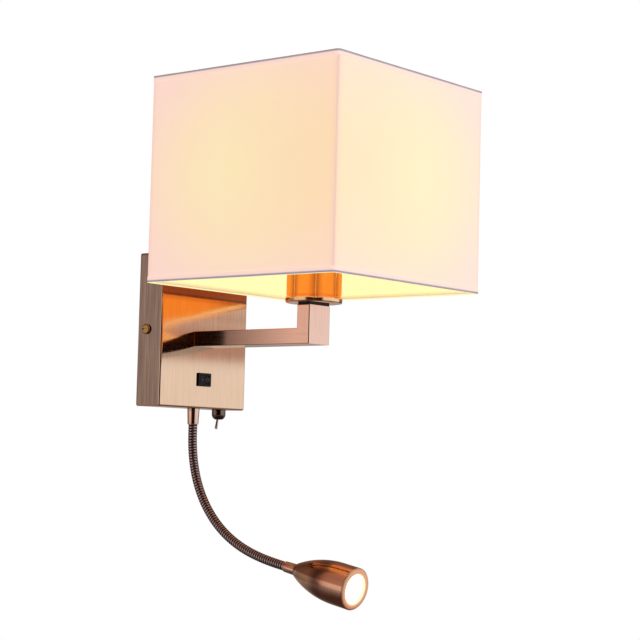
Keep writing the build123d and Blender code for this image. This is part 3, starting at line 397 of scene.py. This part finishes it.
# brushing marks are about 0.1 mm apart; drawn 0.9 mm apart so that they show at this distance
across, along = 1 / 0.0009, 1 / 0.030
finish = {
    # copper plate, aged and lacquered: pinkish, mirrors softly; the box's sides are darker and its underside
    # painted shade
    "antiqueCopper": brushedMetal(
        "antique copper, brushed upright", ("DFBEA3", "E6C5AA", "EBCCB3"), (across, across, along),
        (0.07, 0.12), 0.012, layers=[
            # painted shade: the third value of each stop darkens the front just under the lamp shade
            (leaningFaceWithPaintedShade, {"low": -0.06, "high": 0.06, "stops": [
                (-45, 0.0, 1.0), (-34, 0.02, 1.0), (-26, 0.055, 1.0), (-18, 0.08, 1.0), (-10, 0.115, 1.0),
                (-6, 0.118, 1.0), (-2, 0.083, 0.97), (3, 0.068, 0.98), (8, 0.062, 1.0), (13, 0.063, 1.0),
                (18, 0.056, 1.0), (23, 0.05, 1.0), (27, 0.042, 0.8), (29, 0.035, 0.5), (33, 0.0, 0.45),
                (45, 0.0, 0.9), (55, 0.0, 1.0)]}),
            # darker sides, and painted shade on the underside
            (darkerSidesShadedBelow, {"side": 0.04999, "underside": -0.05995, "shades": ("7C6E66", "8F8179", "A2948C"),
                        "grain": (1, 600, 22)})]),
    "armCopper": brushedMetal(
        "antique copper, brushed along the arm", ("E6BEAC", "EEC8B8", "F3D0C2"), (across, along, across),
        (0.14, 0.2), 0.012, upperGrain=(0.0006, (across, across, along)), layers=[
            # painted reflection: dark lines on the post's front corners
            (paintedDarkCorners, {"side": 0.0121, "front": -0.1411, "colour": "3A1610"}),
            # painted shade: the arm darker near the box
            (paintedShadeNearBox, {"start": -0.128, "end": -0.065, "least": 0.38})]),
    # spun copper, finely ground round about: takes long soft reflections
    "spunCopper": brushedMetal("spun copper, satin", ("DDB8A4", "E3C0AC", "E9C8B5"),
                               (along, across, 1), (0.06, 0.1), 0.004, byUv=True),
    # painted shade: a dark band part way along the head's length
    "headCopper": brushedMetal(
        "antique copper head, spun", ("D9AD94", "E0B59D", "E7BEA7"), (along, across, 1), (0.12, 0.18), 0.008,
        byUv=True, layers=[(paintedLightAndShadeAlong, {"length": 0.060, "stops": [
            (0.0, (1, 1, 1)), (0.42, (0.95, 0.95, 0.92)), (0.54, (0.46, 0.42, 0.43)),
            (0.62, (0.46, 0.4, 0.4)), (0.72, (0.92, 0.88, 0.85)), (0.8, (1, 1, 1))]})]),
    # drawn and buffed, so its marks are wide and faint; its foot is painted warmer, a painted reflection of
    # the shade's glow
    "cupCopper": brushedMetal(
        "drawn copper cup, polished", ("EED2B0", "F4DEC0", "FAE8CE"), (1 / 0.012, 1 / 0.12, 1), (0.09, 0.14),
        0.0, byUv=True, layers=[(paintedLightAndShadeAlong, {"length": 0.060, "stops": [
            (0.0, (0.95, 0.66, 0.5)), (0.36, (1, 0.82, 0.66)), (0.385, (1, 0.82, 0.66)),
            (0.4, (1, 1, 1))]})]),
    "neckBronze": brushedMetal(
        "wound bronze strip", ("A99CA4", "B6A9B1", "C4B7BE"), (across, across, 1), (0.24, 0.34), 0.01,
        byUv=True, layers=[(groovesDirtAndShade, {"crest": 0.0005, "groove": 0.00075, "colour": "14070A"})]),
    "nutBronze": brushedMetal("bronzed nut, turned", ("6A5A52", "75655D", "80706A"),
                              (along, across, 1), (0.08, 0.14), 0.01, byUv=True),
    "brightSteel": brushedMetal("bright plated steel", ("C9C4C0", "D9D5D2", "E6E3E0"),
                                (across, across, across), (0.10, 0.2), 0.02),
    # zinc on steel: faint spangle, bluish grey
    "zinc": plainSurface("zinc plated steel", ("A6ABB0", "BEC2C5"), 0.0012, (0.28, 0.42), 0.05, 1.0),
    "brass": plainSurface("turned brass, aged", ("A88A55", "C4A46A"), 0.0006, (0.16, 0.28), 0.05, 1.0),
    "aluminium": plainSurface("extruded aluminium", ("B4B6B8", "CDCFD1"), 0.0009, (0.3, 0.45), 0.08, 1.0),
    "capMetal": plainSurface("rolled tinplate cap", ("B9BABA", "D2D2D0"), 0.0008, (0.2, 0.34), 0.05, 1.0),
    # moulded plastics: fine spark-eroded grain
    "blackPlastic": plainSurface("black moulded polyamide", ("060409", "0B080F"), 0.0006, (0.34, 0.46), 0.1,
                                 Specular_IOR_Level=0.25),
    "whitePlastic": plainSurface("white moulded polycarbonate", ("E6E2DA", "F0EDE6"), 0.0007, (0.3, 0.42),
                                 0.1),
    "whiteWire": plainSurface("white coated wire, lit by the bulb", ("E9E5DC", "F2EFE8"), 0.0008, (0.28, 0.4),
                              0.12, Emission_Color=(0.8, 0.52, 0.16, 1), Emission_Strength=0.55),
    "leadSheath": plainSurface("grey flexible lead sheath", ("B7B7B5", "C8C8C6"), 0.0009, (0.4, 0.52), 0.12),
    "ledBoard": plainSurface("white solder mask on the board", ("E8E9E6", "F4F5F2"), 0.0008, (0.3, 0.4),
                             0.08),
    "switchMark": plainSurface("grey pad print", ("55535F", "64626E"), 0.0004, (0.45, 0.6), 0.1),
}

# finish of each CAD piece that stays as it is
keptPieces = {
    "antiqueCopper": ["plate_cover"], "armCopper": ["arm"],
    "zinc": ["wall_bracket", "arm_end_block", "arm_backing_plate", "arm_screws", "post_cap", "holder_nipple",
             "nipple_nut", "neck_lock_nut", "terminal_fixing_screw", "head_grub_screw", "shade_carrier_ring"],
    "brass": ["cover_side_screws", "earth_screw", "rocker_terminals", "toggle_terminals", "lampholder_shell",
              "lampholder_contact"],
    "brightSteel": ["toggle_bushing", "head_reflector"],
    "blackPlastic": ["rocker_housing", "rocker_button", "post_gasket", "toggle_body"],
    "whitePlastic": ["terminal_block", "led_driver", "bulb_collar", "lampholder_body", "shade_ring_nut"],
    "leadSheath": ["arm_lead"], "capMetal": ["bulb_cap"], "ledBoard": ["head_led_board"],
    "whiteWire": ["shade_bottom_wire", "shade_top_wire", "shade_corner_wires", "shade_carrier_arms"],
    "aluminium": ["head_heat_sink"],
}
for key, names in keptPieces.items():
    for name in names:
        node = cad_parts[name]
        node.data.materials.clear()
        node.data.materials.append(finish[key])

# rocker marks: a bar and a ring printed on the dished face
print("switches")
rocker = {"pivot": (-22.9, -37.3), "tilt": 10.0, "dishRadius": 12.98, "middle": 3.7,
          "bar": (-1.7, 1.0, 0.24), "ring": (2.9, 1.2, 0.2), "print": 0.03}


def printed(name, path, normals, halfWidth):
    # a flat stroke along a path on the rocker's face: u along the rocker, w up, height above the dished face
    section = np.array([(-1, -1), (-1, 1), (1, 1), (1, -1), (-1, -1)], float)
    u = path[None, :, 0] + section[:, 0, None] * halfWidth * normals[None, :, 0]
    w = path[None, :, 1] + section[:, 0, None] * halfWidth * normals[None, :, 1]
    radius = rocker["dishRadius"]
    v = -rocker["middle"] - radius + np.sqrt(radius ** 2 - u ** 2) - section[:, 1, None] * rocker["print"]
    tilt = radians(rocker["tilt"])
    points = np.stack([u * cos(tilt) + v * sin(tilt), rocker["pivot"][0] - u * sin(tilt) + v * cos(tilt),
                       rocker["pivot"][1] + w], -1)
    return setOn(gridPiece(name, points, [finish["switchMark"]]), "rocker", "black_plastic")


place, reach, width = rocker["bar"]
up = np.linspace(-reach, reach, 13)
taper = width * np.sqrt(np.clip(1 - (np.maximum(np.abs(up) - reach + width, 0) / width) ** 2, 0, 1))
printed("rocker_bar_mark", np.stack([place + up, np.zeros(13)], -1), np.tile((0.0, 1.0), (13, 1)), taper)
place, reach, width = rocker["ring"]
spin = np.linspace(0, 2 * np.pi, 33)
printed("rocker_ring_mark", np.stack([place + reach * np.cos(spin), reach * np.sin(spin)], -1),
        np.stack([np.cos(spin), np.sin(spin)], -1), np.full(33, width))

# toggle: dome nut under the box and a bat lever
toggle = {"centre": (32.2, -13.0, -60.0), "mouth": 2.154, "bore": 3.05, "radius": 5.6, "side": 3.5,
          "bottom": 7.8, "crownRadius": 5.003, "swing": 59.3, "tilt": 11.0, "ball": 1.8,
          "lever": (0.8, 1.2, 13.957)}
swing = np.radians(np.linspace(0, toggle["swing"], 14))
crown = np.stack([toggle["radius"] - toggle["crownRadius"] * (1 - np.cos(swing)),
                  -toggle["side"] - toggle["crownRadius"] * np.sin(swing)], -1)
nutProfile = np.vstack([
    [(toggle["mouth"], -toggle["bottom"] + 0.25), (toggle["mouth"], -6.9), (toggle["bore"], -6.9),
     (toggle["bore"], 0), (toggle["radius"] - 0.2, 0), (toggle["radius"], -0.2)], crown,
    [(toggle["mouth"] + 0.3, -toggle["bottom"])]])
setOn(turned("toggle_nut", nutProfile, finish["nutBronze"], toggle["centre"]), "lamp", "bronze_nut",
      "toggle_dome_nut")
root, tip, length = toggle["lever"]
bead = np.linspace(np.pi, np.arcsin(root / toggle["ball"]), 14)
leverProfile = np.vstack([
    np.stack([toggle["ball"] * np.sin(bead), toggle["ball"] * np.cos(bead)], -1),
    [(root + 0.02, 4.0), (tip - 0.12, 11.0), (tip, 12.4), (tip, length - 0.6), (tip - 0.18, length - 0.18),
     (tip - 0.6, length), (0, length)]])
tilt = radians(toggle["tilt"])
setOn(turned("toggle_bat", leverProfile, finish["brightSteel"],
             (toggle["centre"][0], toggle["centre"][1], toggle["centre"][2] - toggle["ball"]),
             along=(-sin(tilt), 0, -cos(tilt)), across=(0, 1, 0), turns=40), "toggle", "bright_metal",
      "toggle_lever")

# lampholder cup, drawn from sheet with a rolled foot
print("lampholder and bulb")
post = (0.0, -135.7, 0.0)
cupCorners = [(4.2, 20, 0), (21.7, 20, 0.9), (21.7, 24.4, 0.5), (21.0, 24.6, 0.2), (21.0, 56, 0.35),
              (20.0, 56, 0.35), (20.0, 21, 0.8), (4.2, 21, 0)]
setOn(turned("copper_cup", roundCorners(cupCorners), finish["cupCopper"], post, turns=128), "lamp",
      "polished_copper", "holder_cup")

# opal bulb: its side is the circle through three points, its crown half a ball
globe = {"side": ((20.0, 91.5), (27.4, 108.5), (30.0, 125.5)), "top": 155.5}
(r0, z0), (r1, z1), (r2, z2) = globe["side"]
fromFirst = np.array([(r1 - r0, z1 - z0), (r2 - r0, z2 - z0)])
circle = np.linalg.solve(fromFirst * 2, [r * r + z * z - r0 * r0 - z0 * z0 for r, z in ((r1, z1), (r2, z2))])
sideRadius = np.hypot(r0 - circle[0], z0 - circle[1])
turn = np.linspace(np.arctan2(z0 - circle[1], r0 - circle[0]), np.arctan2(z2 - circle[1], r2 - circle[0]), 20)
cap = np.linspace(0, np.pi / 2, 24)
globeProfile = np.vstack([
    [(0, z0)], np.stack([circle[0] + sideRadius * np.cos(turn), circle[1] + sideRadius * np.sin(turn)], -1),
    np.stack([r2 * np.cos(cap[1:]), z2 + r2 * np.sin(cap[1:])], -1)])
# opal glass, blown and etched inside: evenly bright, warmer at its foot
opal, tree, shader = newFinish("opal glass, lit", Roughness=0.25, Base_Color=linear("FFF6E4"),
                               Emission_Strength=1.6)
axes = addNode(tree, "SeparateXYZ", {"Vector": addNode(tree, "TexCoord").outputs["Object"]}).outputs
level = addNode(tree, "MapRange", {"Value": axes["Z"], "From Min": z0 * mm, "From Max": globe["top"] * mm})
feed(shader, {"Emission Color": addNode(tree, "ValToRGB", {"Fac": level}, stops=[
    (0.0, (0.85, 0.55, 0.28, 1)), (0.3, (1.0, 0.8, 0.5, 1)), (1.0, (1.0, 0.84, 0.58, 1))])})
setOn(turned("bulb_opal_globe", globeProfile, opal, post), "lamp", "opal_glass", "bulb_globe")

# shade: cotton laminated on a stiff clear lining, stretched round wires, its rims bound with a folded hem
print("shade")
shade = {"width": 180.0, "foot": 31.6, "height": 157.0, "wall": 1.2, "corner": 2.5, "bow": 0.35,
         "hem": 4.4, "hemWave": 0.22, "columns": 260, "rows": 41}
shadeMiddle = (0.0, post[1], shade["foot"] + shade["height"] / 2)


def squareRing(offsets):
    # round the square: corner centre + (corner radius + offset)(cos a, sin a), the straight sides between
    steps = 7
    angle = np.radians([*np.linspace((0, 90, 180, 270), (90, 180, 270, 360), steps).T.ravel(), 0])
    quarter = np.r_[np.repeat([0, 1, 2, 3], steps), 0]
    centre = shade["width"] / 2 - shade["corner"]
    cx = np.array([1, -1, -1, 1])[quarter] * centre
    cy = np.array([1, 1, -1, -1])[quarter] * centre
    x, y = cx + shade["corner"] * np.cos(angle), cy + shade["corner"] * np.sin(angle)
    knots = np.r_[0, np.cumsum(np.hypot(np.diff(x), np.diff(y)))]
    way = np.union1d(knots, np.linspace(0, knots[-1], shade["columns"]))
    x, y, nx, ny = (np.interp(way, knots, values) for values in (x, y, np.cos(angle), np.sin(angle)))
    return way, x + offsets[:, None] * nx, y + offsets[:, None] * ny


# the cloth's outer face, up, and its inner face, down; the sides are drawn in a little by the stretched cloth
ups, rows = np.linspace(0, shade["height"], shade["rows"]), shade["rows"]
sectionOut = np.r_[np.zeros(rows), np.full(rows, -shade["wall"]), 0]
sectionUp = np.r_[ups, ups[::-1], 0]
way, ringX, ringY = squareRing(sectionOut)
lateral = np.clip(1 - (np.minimum(np.abs(ringX), np.abs(ringY)) / (shade["width"] / 2)) ** 2, 0, 1)
belly = shade["bow"] * lateral * (1 - (2 * sectionUp[:, None] / shade["height"] - 1) ** 2)
pull = 1 - belly / (shade["width"] / 2)
onSide = np.abs(ringX) > np.abs(ringY)
fabricPoints = np.stack([np.where(onSide, ringX * pull, ringX),
                         np.where(onSide, ringY, ringY * pull) + post[1],
                         np.repeat(sectionUp[:, None] + shade["foot"], len(way), 1)], -1)
rowMaterial = np.r_[np.zeros(rows), np.ones(rows - 1), 0]
fabricUv = np.stack(np.broadcast_arrays(way[None, :], sectionUp[:, None]), -1)


def towardsCorners(tree, fromMiddle):
    # the smaller of the two level distances from the middle, which grows towards the shade's corners
    sides = addNode(tree, "SeparateXYZ", {"Vector": fromMiddle}).outputs
    x, y = (addNode(tree, "Math", {0: sides[axis]}, operation="ABSOLUTE") for axis in "XY")
    return addNode(tree, "Math", {0: x, 1: y}, operation="MINIMUM")


def liningColours(tree, fromMiddle):
    # clear film on the cloth's inside, lit; a painted reflection: to mirrored rays its glow is amber, deeper
    # towards the corners, and its base black
    glossy = addNode(tree, "LightPath").outputs["Is Glossy Ray"]
    corner = addNode(tree, "MapRange", {"Value": towardsCorners(tree, fromMiddle),
                                        "From Min": 0.03, "From Max": 0.08})
    amber = addNode(tree, "MixRGB", {"Fac": corner, "Color1": (1.1, 0.36, 0.04, 1),
                                     "Color2": (0.55, 0.12, 0.01, 1)})
    return {"Base Color": addNode(tree, "MixRGB", {"Fac": glossy, "Color1": linear("8E8A7C"),
                                                   "Color2": grey(0.0)}),
            "Emission Color": addNode(tree, "MixRGB", {"Fac": glossy, "Color1": (0.86, 0.81, 0.4, 1),
                                                       "Color2": amber})}


def clothColours(tree, fromMiddle):
    # lit through: yellow over the bulb, pinker towards the rims and the corners
    sideways = towardsCorners(tree, fromMiddle)
    upward = addNode(tree, "Math", {0: addNode(tree, "SeparateXYZ", {"Vector": fromMiddle}).outputs["Z"]},
                     operation="ABSOLUTE")
    shares = [addNode(tree, "Math", {0: distance, 1: 1 / (reach * mm)}, operation="MULTIPLY")
              for distance, reach in ((sideways, shade["width"] / 2), (upward, shade["height"] / 2))]
    spread = addNode(tree, "VectorMath", {0: addNode(tree, "CombineXYZ", {"X": shares[0], "Y": shares[1]})},
                     operation="LENGTH")
    fromBulb = addNode(tree, "MapRange", {"Value": spread.outputs["Value"], "From Max": 1.414})
    glow = addNode(tree, "ValToRGB", {"Fac": fromBulb}, stops=[
        (0.0, (0.46, 0.33, 0.02, 1)), (0.45, (0.47, 0.28, 0.05, 1)), (0.8, (0.47, 0.22, 0.13, 1)),
        (1.0, (0.47, 0.21, 0.15, 1))])
    # yellower about the middle of the front left corner
    toCorner = addNode(tree, "VectorMath", {0: fromMiddle, 1: (-0.09, -0.09, 0)}, operation="DISTANCE")
    cornerGlow = addNode(tree, "MapRange", {"Value": toCorner.outputs["Value"], "From Min": 0.02,
                                            "From Max": 0.11, "To Min": 1.0, "To Max": 0.0})
    glow = addNode(tree, "MixRGB", {"Fac": cornerGlow, "Color1": glow, "Color2": (0.47, 0.24, 0.0, 1)})
    # painted shade in the glow along each corner, where the cloth's lap and the corner wire hold back the
    # light: peach near it, a mauve line on it
    nearSeam = addNode(tree, "MapRange", {"Value": sideways, "From Min": 0.084, "From Max": 0.0891})
    seam = addNode(tree, "ValToRGB", {"Fac": nearSeam}, stops=[
        (0.0, (1, 1, 1, 1)), (0.8, (1.0, 0.78, 0.62, 1)), (0.9, (0.8, 0.46, 0.36, 1)),
        (1.0, (0.62, 0.36, 0.36, 1))])
    return {"Base Color": linear("F6F1EC"),
            "Emission Color": addNode(tree, "MixRGB", {"Fac": 1.0, "Color1": glow, "Color2": seam},
                                      blend_type="MULTIPLY")}


def litCloth(name, roughness, addColours):
    # plain cotton: warp and weft 0.35 mm apart, with slubs along the weft
    made, tree, shader = newFinish(name, Roughness=roughness, Emission_Strength=1.0)
    texture = addNode(tree, "TexCoord").outputs
    threads = addNode(tree, "Mapping", {"Vector": texture["UV"], "Scale": (900, 900, 1)})
    warp, weft = (addNode(tree, "TexWave", {"Vector": threads, "Scale": 1.0, "Distortion": 0.5},
                          bands_direction=direction).outputs["Fac"] for direction in "XY")
    drawnOut = addNode(tree, "Mapping", {"Vector": texture["UV"], "Scale": (60, 700, 1)})
    slubs = addNode(tree, "TexNoise", {"Vector": drawnOut, "Scale": 1.0, "Detail": 3.0})
    weave = addNode(tree, "MixRGB", {"Fac": 0.5, "Color1": warp, "Color2": weft})
    cloth = addNode(tree, "MixRGB", {"Fac": 0.5, "Color1": weave, "Color2": slubs})
    shine = addNode(tree, "MapRange", {"Value": cloth, "To Min": 0.975, "To Max": 1.02})
    fromMiddle = addNode(tree, "Mapping", {"Vector": texture["Object"],
                                           "Location": [-value * mm for value in shadeMiddle]})
    colours = addColours(tree, fromMiddle)
    lit = addNode(tree, "MixRGB", {"Fac": 1.0, "Color1": colours["Emission Color"], "Color2": shine},
                  blend_type="MULTIPLY")
    feed(shader, colours | {"Emission Color": lit, "Normal": addNode(tree, "Bump", {
        "Height": cloth, "Strength": 0.12, "Distance": 0.0002})})
    return made


cotton = litCloth("cotton shade cloth, lit through", 0.85, clothColours)
lining = litCloth("shade lining, lit", 0.4, liningColours)
fabric = setOn(gridPiece("shade_cloth", fabricPoints, [cotton, lining], 30, rowMaterial, fabricUv),
               "lamp", "shade_cloth", "shade_fabric")


def bindingCloth():
    # cotton tape folded over the rim: creased, lilac in its own shade at the rim, lit through above it
    made, tree, shader = newFinish("folded cotton binding, lit through above the fold", Roughness=0.85,
                                   Emission_Strength=1.0)
    texture = addNode(tree, "TexCoord").outputs
    drawnOut = addNode(tree, "Mapping", {"Vector": texture["UV"], "Scale": (110, 600, 1)})
    folds = addNode(tree, "TexNoise", {"Vector": drawnOut, "Scale": 1.0, "Detail": 3.0})
    lilac = addNode(tree, "ValToRGB", {"Fac": folds}, stops=[
        (0.3, linear("B4A9BE")), (0.7, linear("C8BDD0"))])
    # distance from the nearer rim, by height
    axes = addNode(tree, "SeparateXYZ", {"Vector": texture["Object"]}).outputs
    fromMiddle = addNode(tree, "Math", {0: axes["Z"], 1: shadeMiddle[2] * mm}, operation="SUBTRACT")
    toRim = addNode(tree, "Math", {0: addNode(tree, "Math", {0: fromMiddle}, operation="ABSOLUTE"),
                                   1: (shade["height"] / 2 + 0.4) * mm}, operation="SUBTRACT")
    above = addNode(tree, "MapRange", {"Value": toRim, "From Min": -0.0012, "From Max": -0.0022})
    feed(shader, {
        "Base Color": addNode(tree, "MixRGB", {"Fac": above, "Color1": lilac, "Color2": linear("F6F1EC")}),
        "Emission Color": addNode(tree, "MixRGB", {"Fac": above, "Color1": (0.03, 0.02, 0.03, 1),
                                                   "Color2": (0.46, 0.21, 0.14, 1)}),
        "Normal": addNode(tree, "Bump", {"Height": folds, "Strength": 0.3, "Distance": 0.0004})})
    return made


def hem(name, level, upward, node):
    # the folded band: a closed section carried round the rim, both its edges wavering by sums of sines
    tall = shade["hem"]
    section = roundCorners([
        (0.35, -0.35, 0.45), (0.3, tall - 0.25, 0.15), (0.08, tall, 0.06), (-0.5, 0.25, 0.1),
        (-1.3, tall * 0.7, 0.1), (-1.6, tall * 0.6, 0.15), (-1.55, -0.35, 0.5)], 4)
    section = np.vstack([section, section[:1]])
    way, x, y = squareRing(section[:, 0])
    lap = 2 * np.pi * way / way[-1]
    wave = shade["hemWave"] * sum(size * np.sin(count * lap + start) for size, count, start in (
        (0.5, 7, 1), (0.3, 17, 0), (0.2, 31, 2)))
    free = np.clip(section[:, 1] / tall, 0, 1)[:, None]
    z = level + upward * (section[:, 1][:, None] + wave[None] * (0.3 + free))
    points = np.stack([x, y + post[1], z], -1)
    # the part folded under and inside is lit like the lining
    inner = (section[:-1, 0] < 0.25) & (section[:-1, 1] < tall * 0.95)
    return setOn(gridPiece(name, points, [binding, lining], 40, inner.astype(int)), "lamp",
                 "shade_edging", node)


binding = bindingCloth()
lowHem = hem("shade_hem_low", shade["foot"], 1, "shade_trim_bottom")
highHem = hem("shade_hem_high", shade["foot"] + shade["height"], -1, "shade_trim_top")

# bending neck: a bronze strip wound into ribs, in eight lengths, each from the middle of one link to the
# middle of the next
print("neck")
neck = {"root": (-14.8, -72.8), "length": 163.8, "bends": (5, 10, 12, 12, 12, 11, 9, 6, 2), "radius": 3.6,
        "pitch": 2.2, "depth": 0.5, "seat": 7.0, "perTurn": 14, "round": 40}
link = neck["length"] / len(neck["bends"])
straight = 2 * neck["radius"]
joints = len(neck["bends"]) - 1
runs = np.array([straight, link - straight] + [link] * (joints - 1) + [link - straight, straight])
runBends = np.radians([0, neck["bends"][0], *neck["bends"][1:-1], neck["bends"][-1], 0])
runStarts = np.r_[0, np.cumsum(runs)]
headings = np.r_[0, np.cumsum(runBends)]


def neckAt(distance):
    # each run turns evenly: its chord is its length times sin(half its turn)/(half its turn), and heads
    # half its turn away from where it starts
    distance = np.asarray(distance, float)
    y = np.full(distance.shape, neck["root"][0])
    z = np.full(distance.shape, neck["root"][1])
    turn = np.zeros(distance.shape)
    for number, (run, bend) in enumerate(zip(runs, runBends)):
        part = np.clip(distance - runStarts[number], 0, run)
        half = bend * part / run / 2
        chord = part * np.sinc(half / np.pi)
        y = y - chord * np.sin(headings[number] + half)
        z = z - chord * np.cos(headings[number] + half)
        turn = turn + 2 * half
    outside = np.where(distance < 0, distance, np.maximum(distance - neck["length"], 0))
    way = np.stack([np.zeros_like(turn), -np.sin(turn), -np.cos(turn)], -1)
    return np.stack([np.zeros_like(y), y, z], -1) + way * outside[..., None], way


def neckLength(name, start, end):
    # ribs: radius less depth(1 - sqrt(1 - w*w)), w from -1 to 1 across each turn of the strip; the rows
    # follow the helix
    pitch, steps = neck["pitch"], neck["perTurn"]
    first = np.floor(start / pitch - 1) * pitch
    turns = int(np.ceil((end - first) / pitch)) + 1
    angle = np.linspace(0, 2 * np.pi, neck["round"] + 1)[None, :]
    share = np.arange(steps) / steps
    rows = (first + pitch * (np.arange(turns)[:, None] + share[None])).ravel()[:, None]
    clipped = np.clip(rows + pitch * angle / (2 * np.pi), start, end)
    across = 2 * np.mod(clipped / pitch - angle / (2 * np.pi), 1) - 1
    radius = neck["radius"] - neck["depth"] * (1 - np.sqrt(1 - np.clip(np.abs(across), 0, 0.97) ** 2))
    centre, way = neckAt(clipped)
    side = np.array((1.0, 0.0, 0.0))
    third = np.cross(way, side)
    points = centre + radius[..., None] * (side * np.cos(angle)[..., None] + third * np.sin(angle)[..., None])
    # u is the way round, v how far the groove is: 0 on a rib's crest, 1 mm in the groove
    uv = np.stack(np.broadcast_arrays(neck["radius"] * angle, np.abs(across)), -1)
    uv = np.concatenate([uv[:1], uv, uv[-1:]])
    firstEnd = np.repeat(neckAt(np.array([start]))[0][None], angle.size, 1)
    lastEnd = np.repeat(neckAt(np.array([end]))[0][None], angle.size, 1)
    return gridPiece(name, np.concatenate([firstEnd, points, lastEnd]), [finish["neckBronze"]], 60, uv=uv)


for number in range(1, joints + 1):
    last = number == joints
    start = -neck["seat"] if number == 1 else (number - 0.5) * link
    end = neck["length"] + neck["seat"] if last else (number + 0.5) * link
    piece = neckLength(f"neck_length_{number}", start, end)
    linkNodes = [f"neck_link_{number}"] + ([f"neck_link_{number + 1}"] if last else [])
    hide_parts(*linkNodes)
    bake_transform(piece)

# ferrules at both ends of the neck
ferruleCorners = [(1.8, -53.8, 0), (4.0, -53.8, 0.3), (4.0, -60, 0), (4.9, -60, 0.15), (4.35, -72.8, 0.35),
                  (3.7, -72.8, 0.15), (3.7, -65.5, 0), (1.8, -65.5, 0)]
setOn(turned("base_ferrule", roundCorners(ferruleCorners), finish["spunCopper"], (0, neck["root"][0], 0),
             turns=64), "neck_1", "polished_copper", "neck_base_ferrule")
(neckEnd,), (headWay,) = neckAt(np.array([neck["length"]]))
endCorners = [(3.7, 0, 0.15), (4.15, 0, 0.2), (4.4, 11, 0.1), (3.0, 11, 0), (3.0, 17, 0.2), (1.8, 17, 0),
              (1.8, 7.1, 0), (3.7, 7.1, 0)]
setOn(turned("end_ferrule", roundCorners(endCorners), finish["spunCopper"], neckEnd, headWay, turns=64),
      "reading_head", "polished_copper", "neck_end_ferrule")

# reading head: an ogive spun from copper sheet, its radius at d from its rear is 16 - R plus
# sqrt(R*R - (42 - d)*(42 - d)), 42 being the length of its nose and R that arc's radius
print("reading head")
head = {"rear": 11.0, "length": 57.0, "radius": 16.0, "nose": 42.0, "swell": 11.0, "wall": 1.4, "lip": 0.55,
        "bore": 3.05, "ring": (11.1, 15.45, 0.6), "spigot": 14.5, "seat": 2.2, "lens": 12.3}
arc = (head["nose"] ** 2 + head["swell"] ** 2) / (2 * head["swell"])
back = np.linspace(0, head["nose"], 48)
ogive = head["radius"] - arc + np.sqrt(arc ** 2 - (head["nose"] - back) ** 2)
front = head["rear"] + head["length"]
lip = np.radians(np.linspace(0, 90, 7))
inner = back[back > 4][::-1]
innerOgive = np.interp(inner, back, ogive) - head["wall"]
shellProfile = np.vstack([
    [(head["bore"], head["rear"]), (ogive[0] - 0.35, head["rear"]), (ogive[0] - 0.1, head["rear"] + 0.1)],
    np.stack([ogive[1:], head["rear"] + back[1:]], -1),
    np.stack([head["radius"] - head["lip"] * (1 - np.cos(lip)), front - head["lip"] * (1 - np.sin(lip))], -1),
    [(head["radius"] - head["wall"], front), (head["radius"] - head["wall"], head["rear"] + head["nose"])],
    np.stack([innerOgive[1:], head["rear"] + inner[1:]], -1), [(head["bore"], head["rear"] + 4)]])
setOn(turned("head_ogive", shellProfile, finish["headCopper"], neckEnd, headWay, turns=128, smoothAngle=28),
      "reading_head", "head_copper", "head_shell")
inside, outside, proud = head["ring"]
spigot, seat = head["spigot"], front - head["seat"]
ringCorners = [(inside, front + proud, 0.35), (outside, front + proud, 0.5), (outside, front, 0),
               (spigot, front, 0), (spigot, seat, 0), (inside + 0.6, seat, 0)]
# the front ring is of the same copper, turned, and lit by the lens from its inner edge outwards
ringCopper, tree, shader = newFinish("copper ring, lit by the lens", Metallic=1.0, Roughness=0.3,
                                     Emission_Strength=1.0)
flat = addNode(tree, "TexCoord").outputs["UV"]
scaled = addNode(tree, "Mapping", {"Vector": flat, "Scale": (along, across, 1)})
turning = addNode(tree, "TexNoise", {"Vector": scaled, "Scale": 1.0, "Detail": 3.0})
outwards = addNode(tree, "MapRange", {"Value": addNode(tree, "SeparateXYZ", {"Vector": flat}).outputs["Y"],
                                      "From Max": (outside - inside) * mm})
feed(shader, {
    "Base Color": addNode(tree, "ValToRGB", {"Fac": turning}, stops=[
        (0.3, linear("DDB096")), (0.7, linear("E9BFA7"))]),
    "Emission Color": addNode(tree, "ValToRGB", {"Fac": outwards}, stops=[
        (0.0, (1.0, 0.8, 0.5, 1)), (0.3, (0.5, 0.24, 0.11, 1)), (0.7, (0.3, 0.13, 0.06, 1)),
        (1.0, (0.14, 0.06, 0.03, 1))])})
setOn(turned("head_bezel", roundCorners(ringCorners), ringCopper, neckEnd, headWay, turns=128),
      "reading_head", "head_copper", "head_front_ring")

# diffusing lens over the reading light: moulded acrylic, fine prisms spread the light, warmer at its rim
lens, tree, shader = newFinish("prismatic acrylic lens, lit", Roughness=0.3, Base_Color=linear("FFF8EC"),
                               Emission_Strength=2.2)
flat = addNode(tree, "SeparateXYZ", {"Vector": addNode(tree, "TexCoord").outputs["UV"]}).outputs
outwards = addNode(tree, "MapRange", {"Value": flat["Y"], "From Max": head["lens"] * mm})
feed(shader, {"Emission Color": addNode(tree, "ValToRGB", {"Fac": outwards}, stops=[
    (0.0, (1.0, 0.98, 0.94, 1)), (0.7, (1.0, 0.96, 0.88, 1)), (0.9, (1.0, 0.82, 0.62, 1)),
    (1.0, (1.0, 0.7, 0.42, 1))])})
bulge = np.linspace(0, 1, 16)
lensProfile = np.vstack([np.stack([head["lens"] * bulge, seat + 0.8 * (1 - bulge ** 2)], -1),
                         [(head["lens"], seat - 2), (0, seat - 2)]])
setOn(turned("head_diffuser", lensProfile, lens, neckEnd, headWay), "reading_head", "lens_glass", "head_lens")
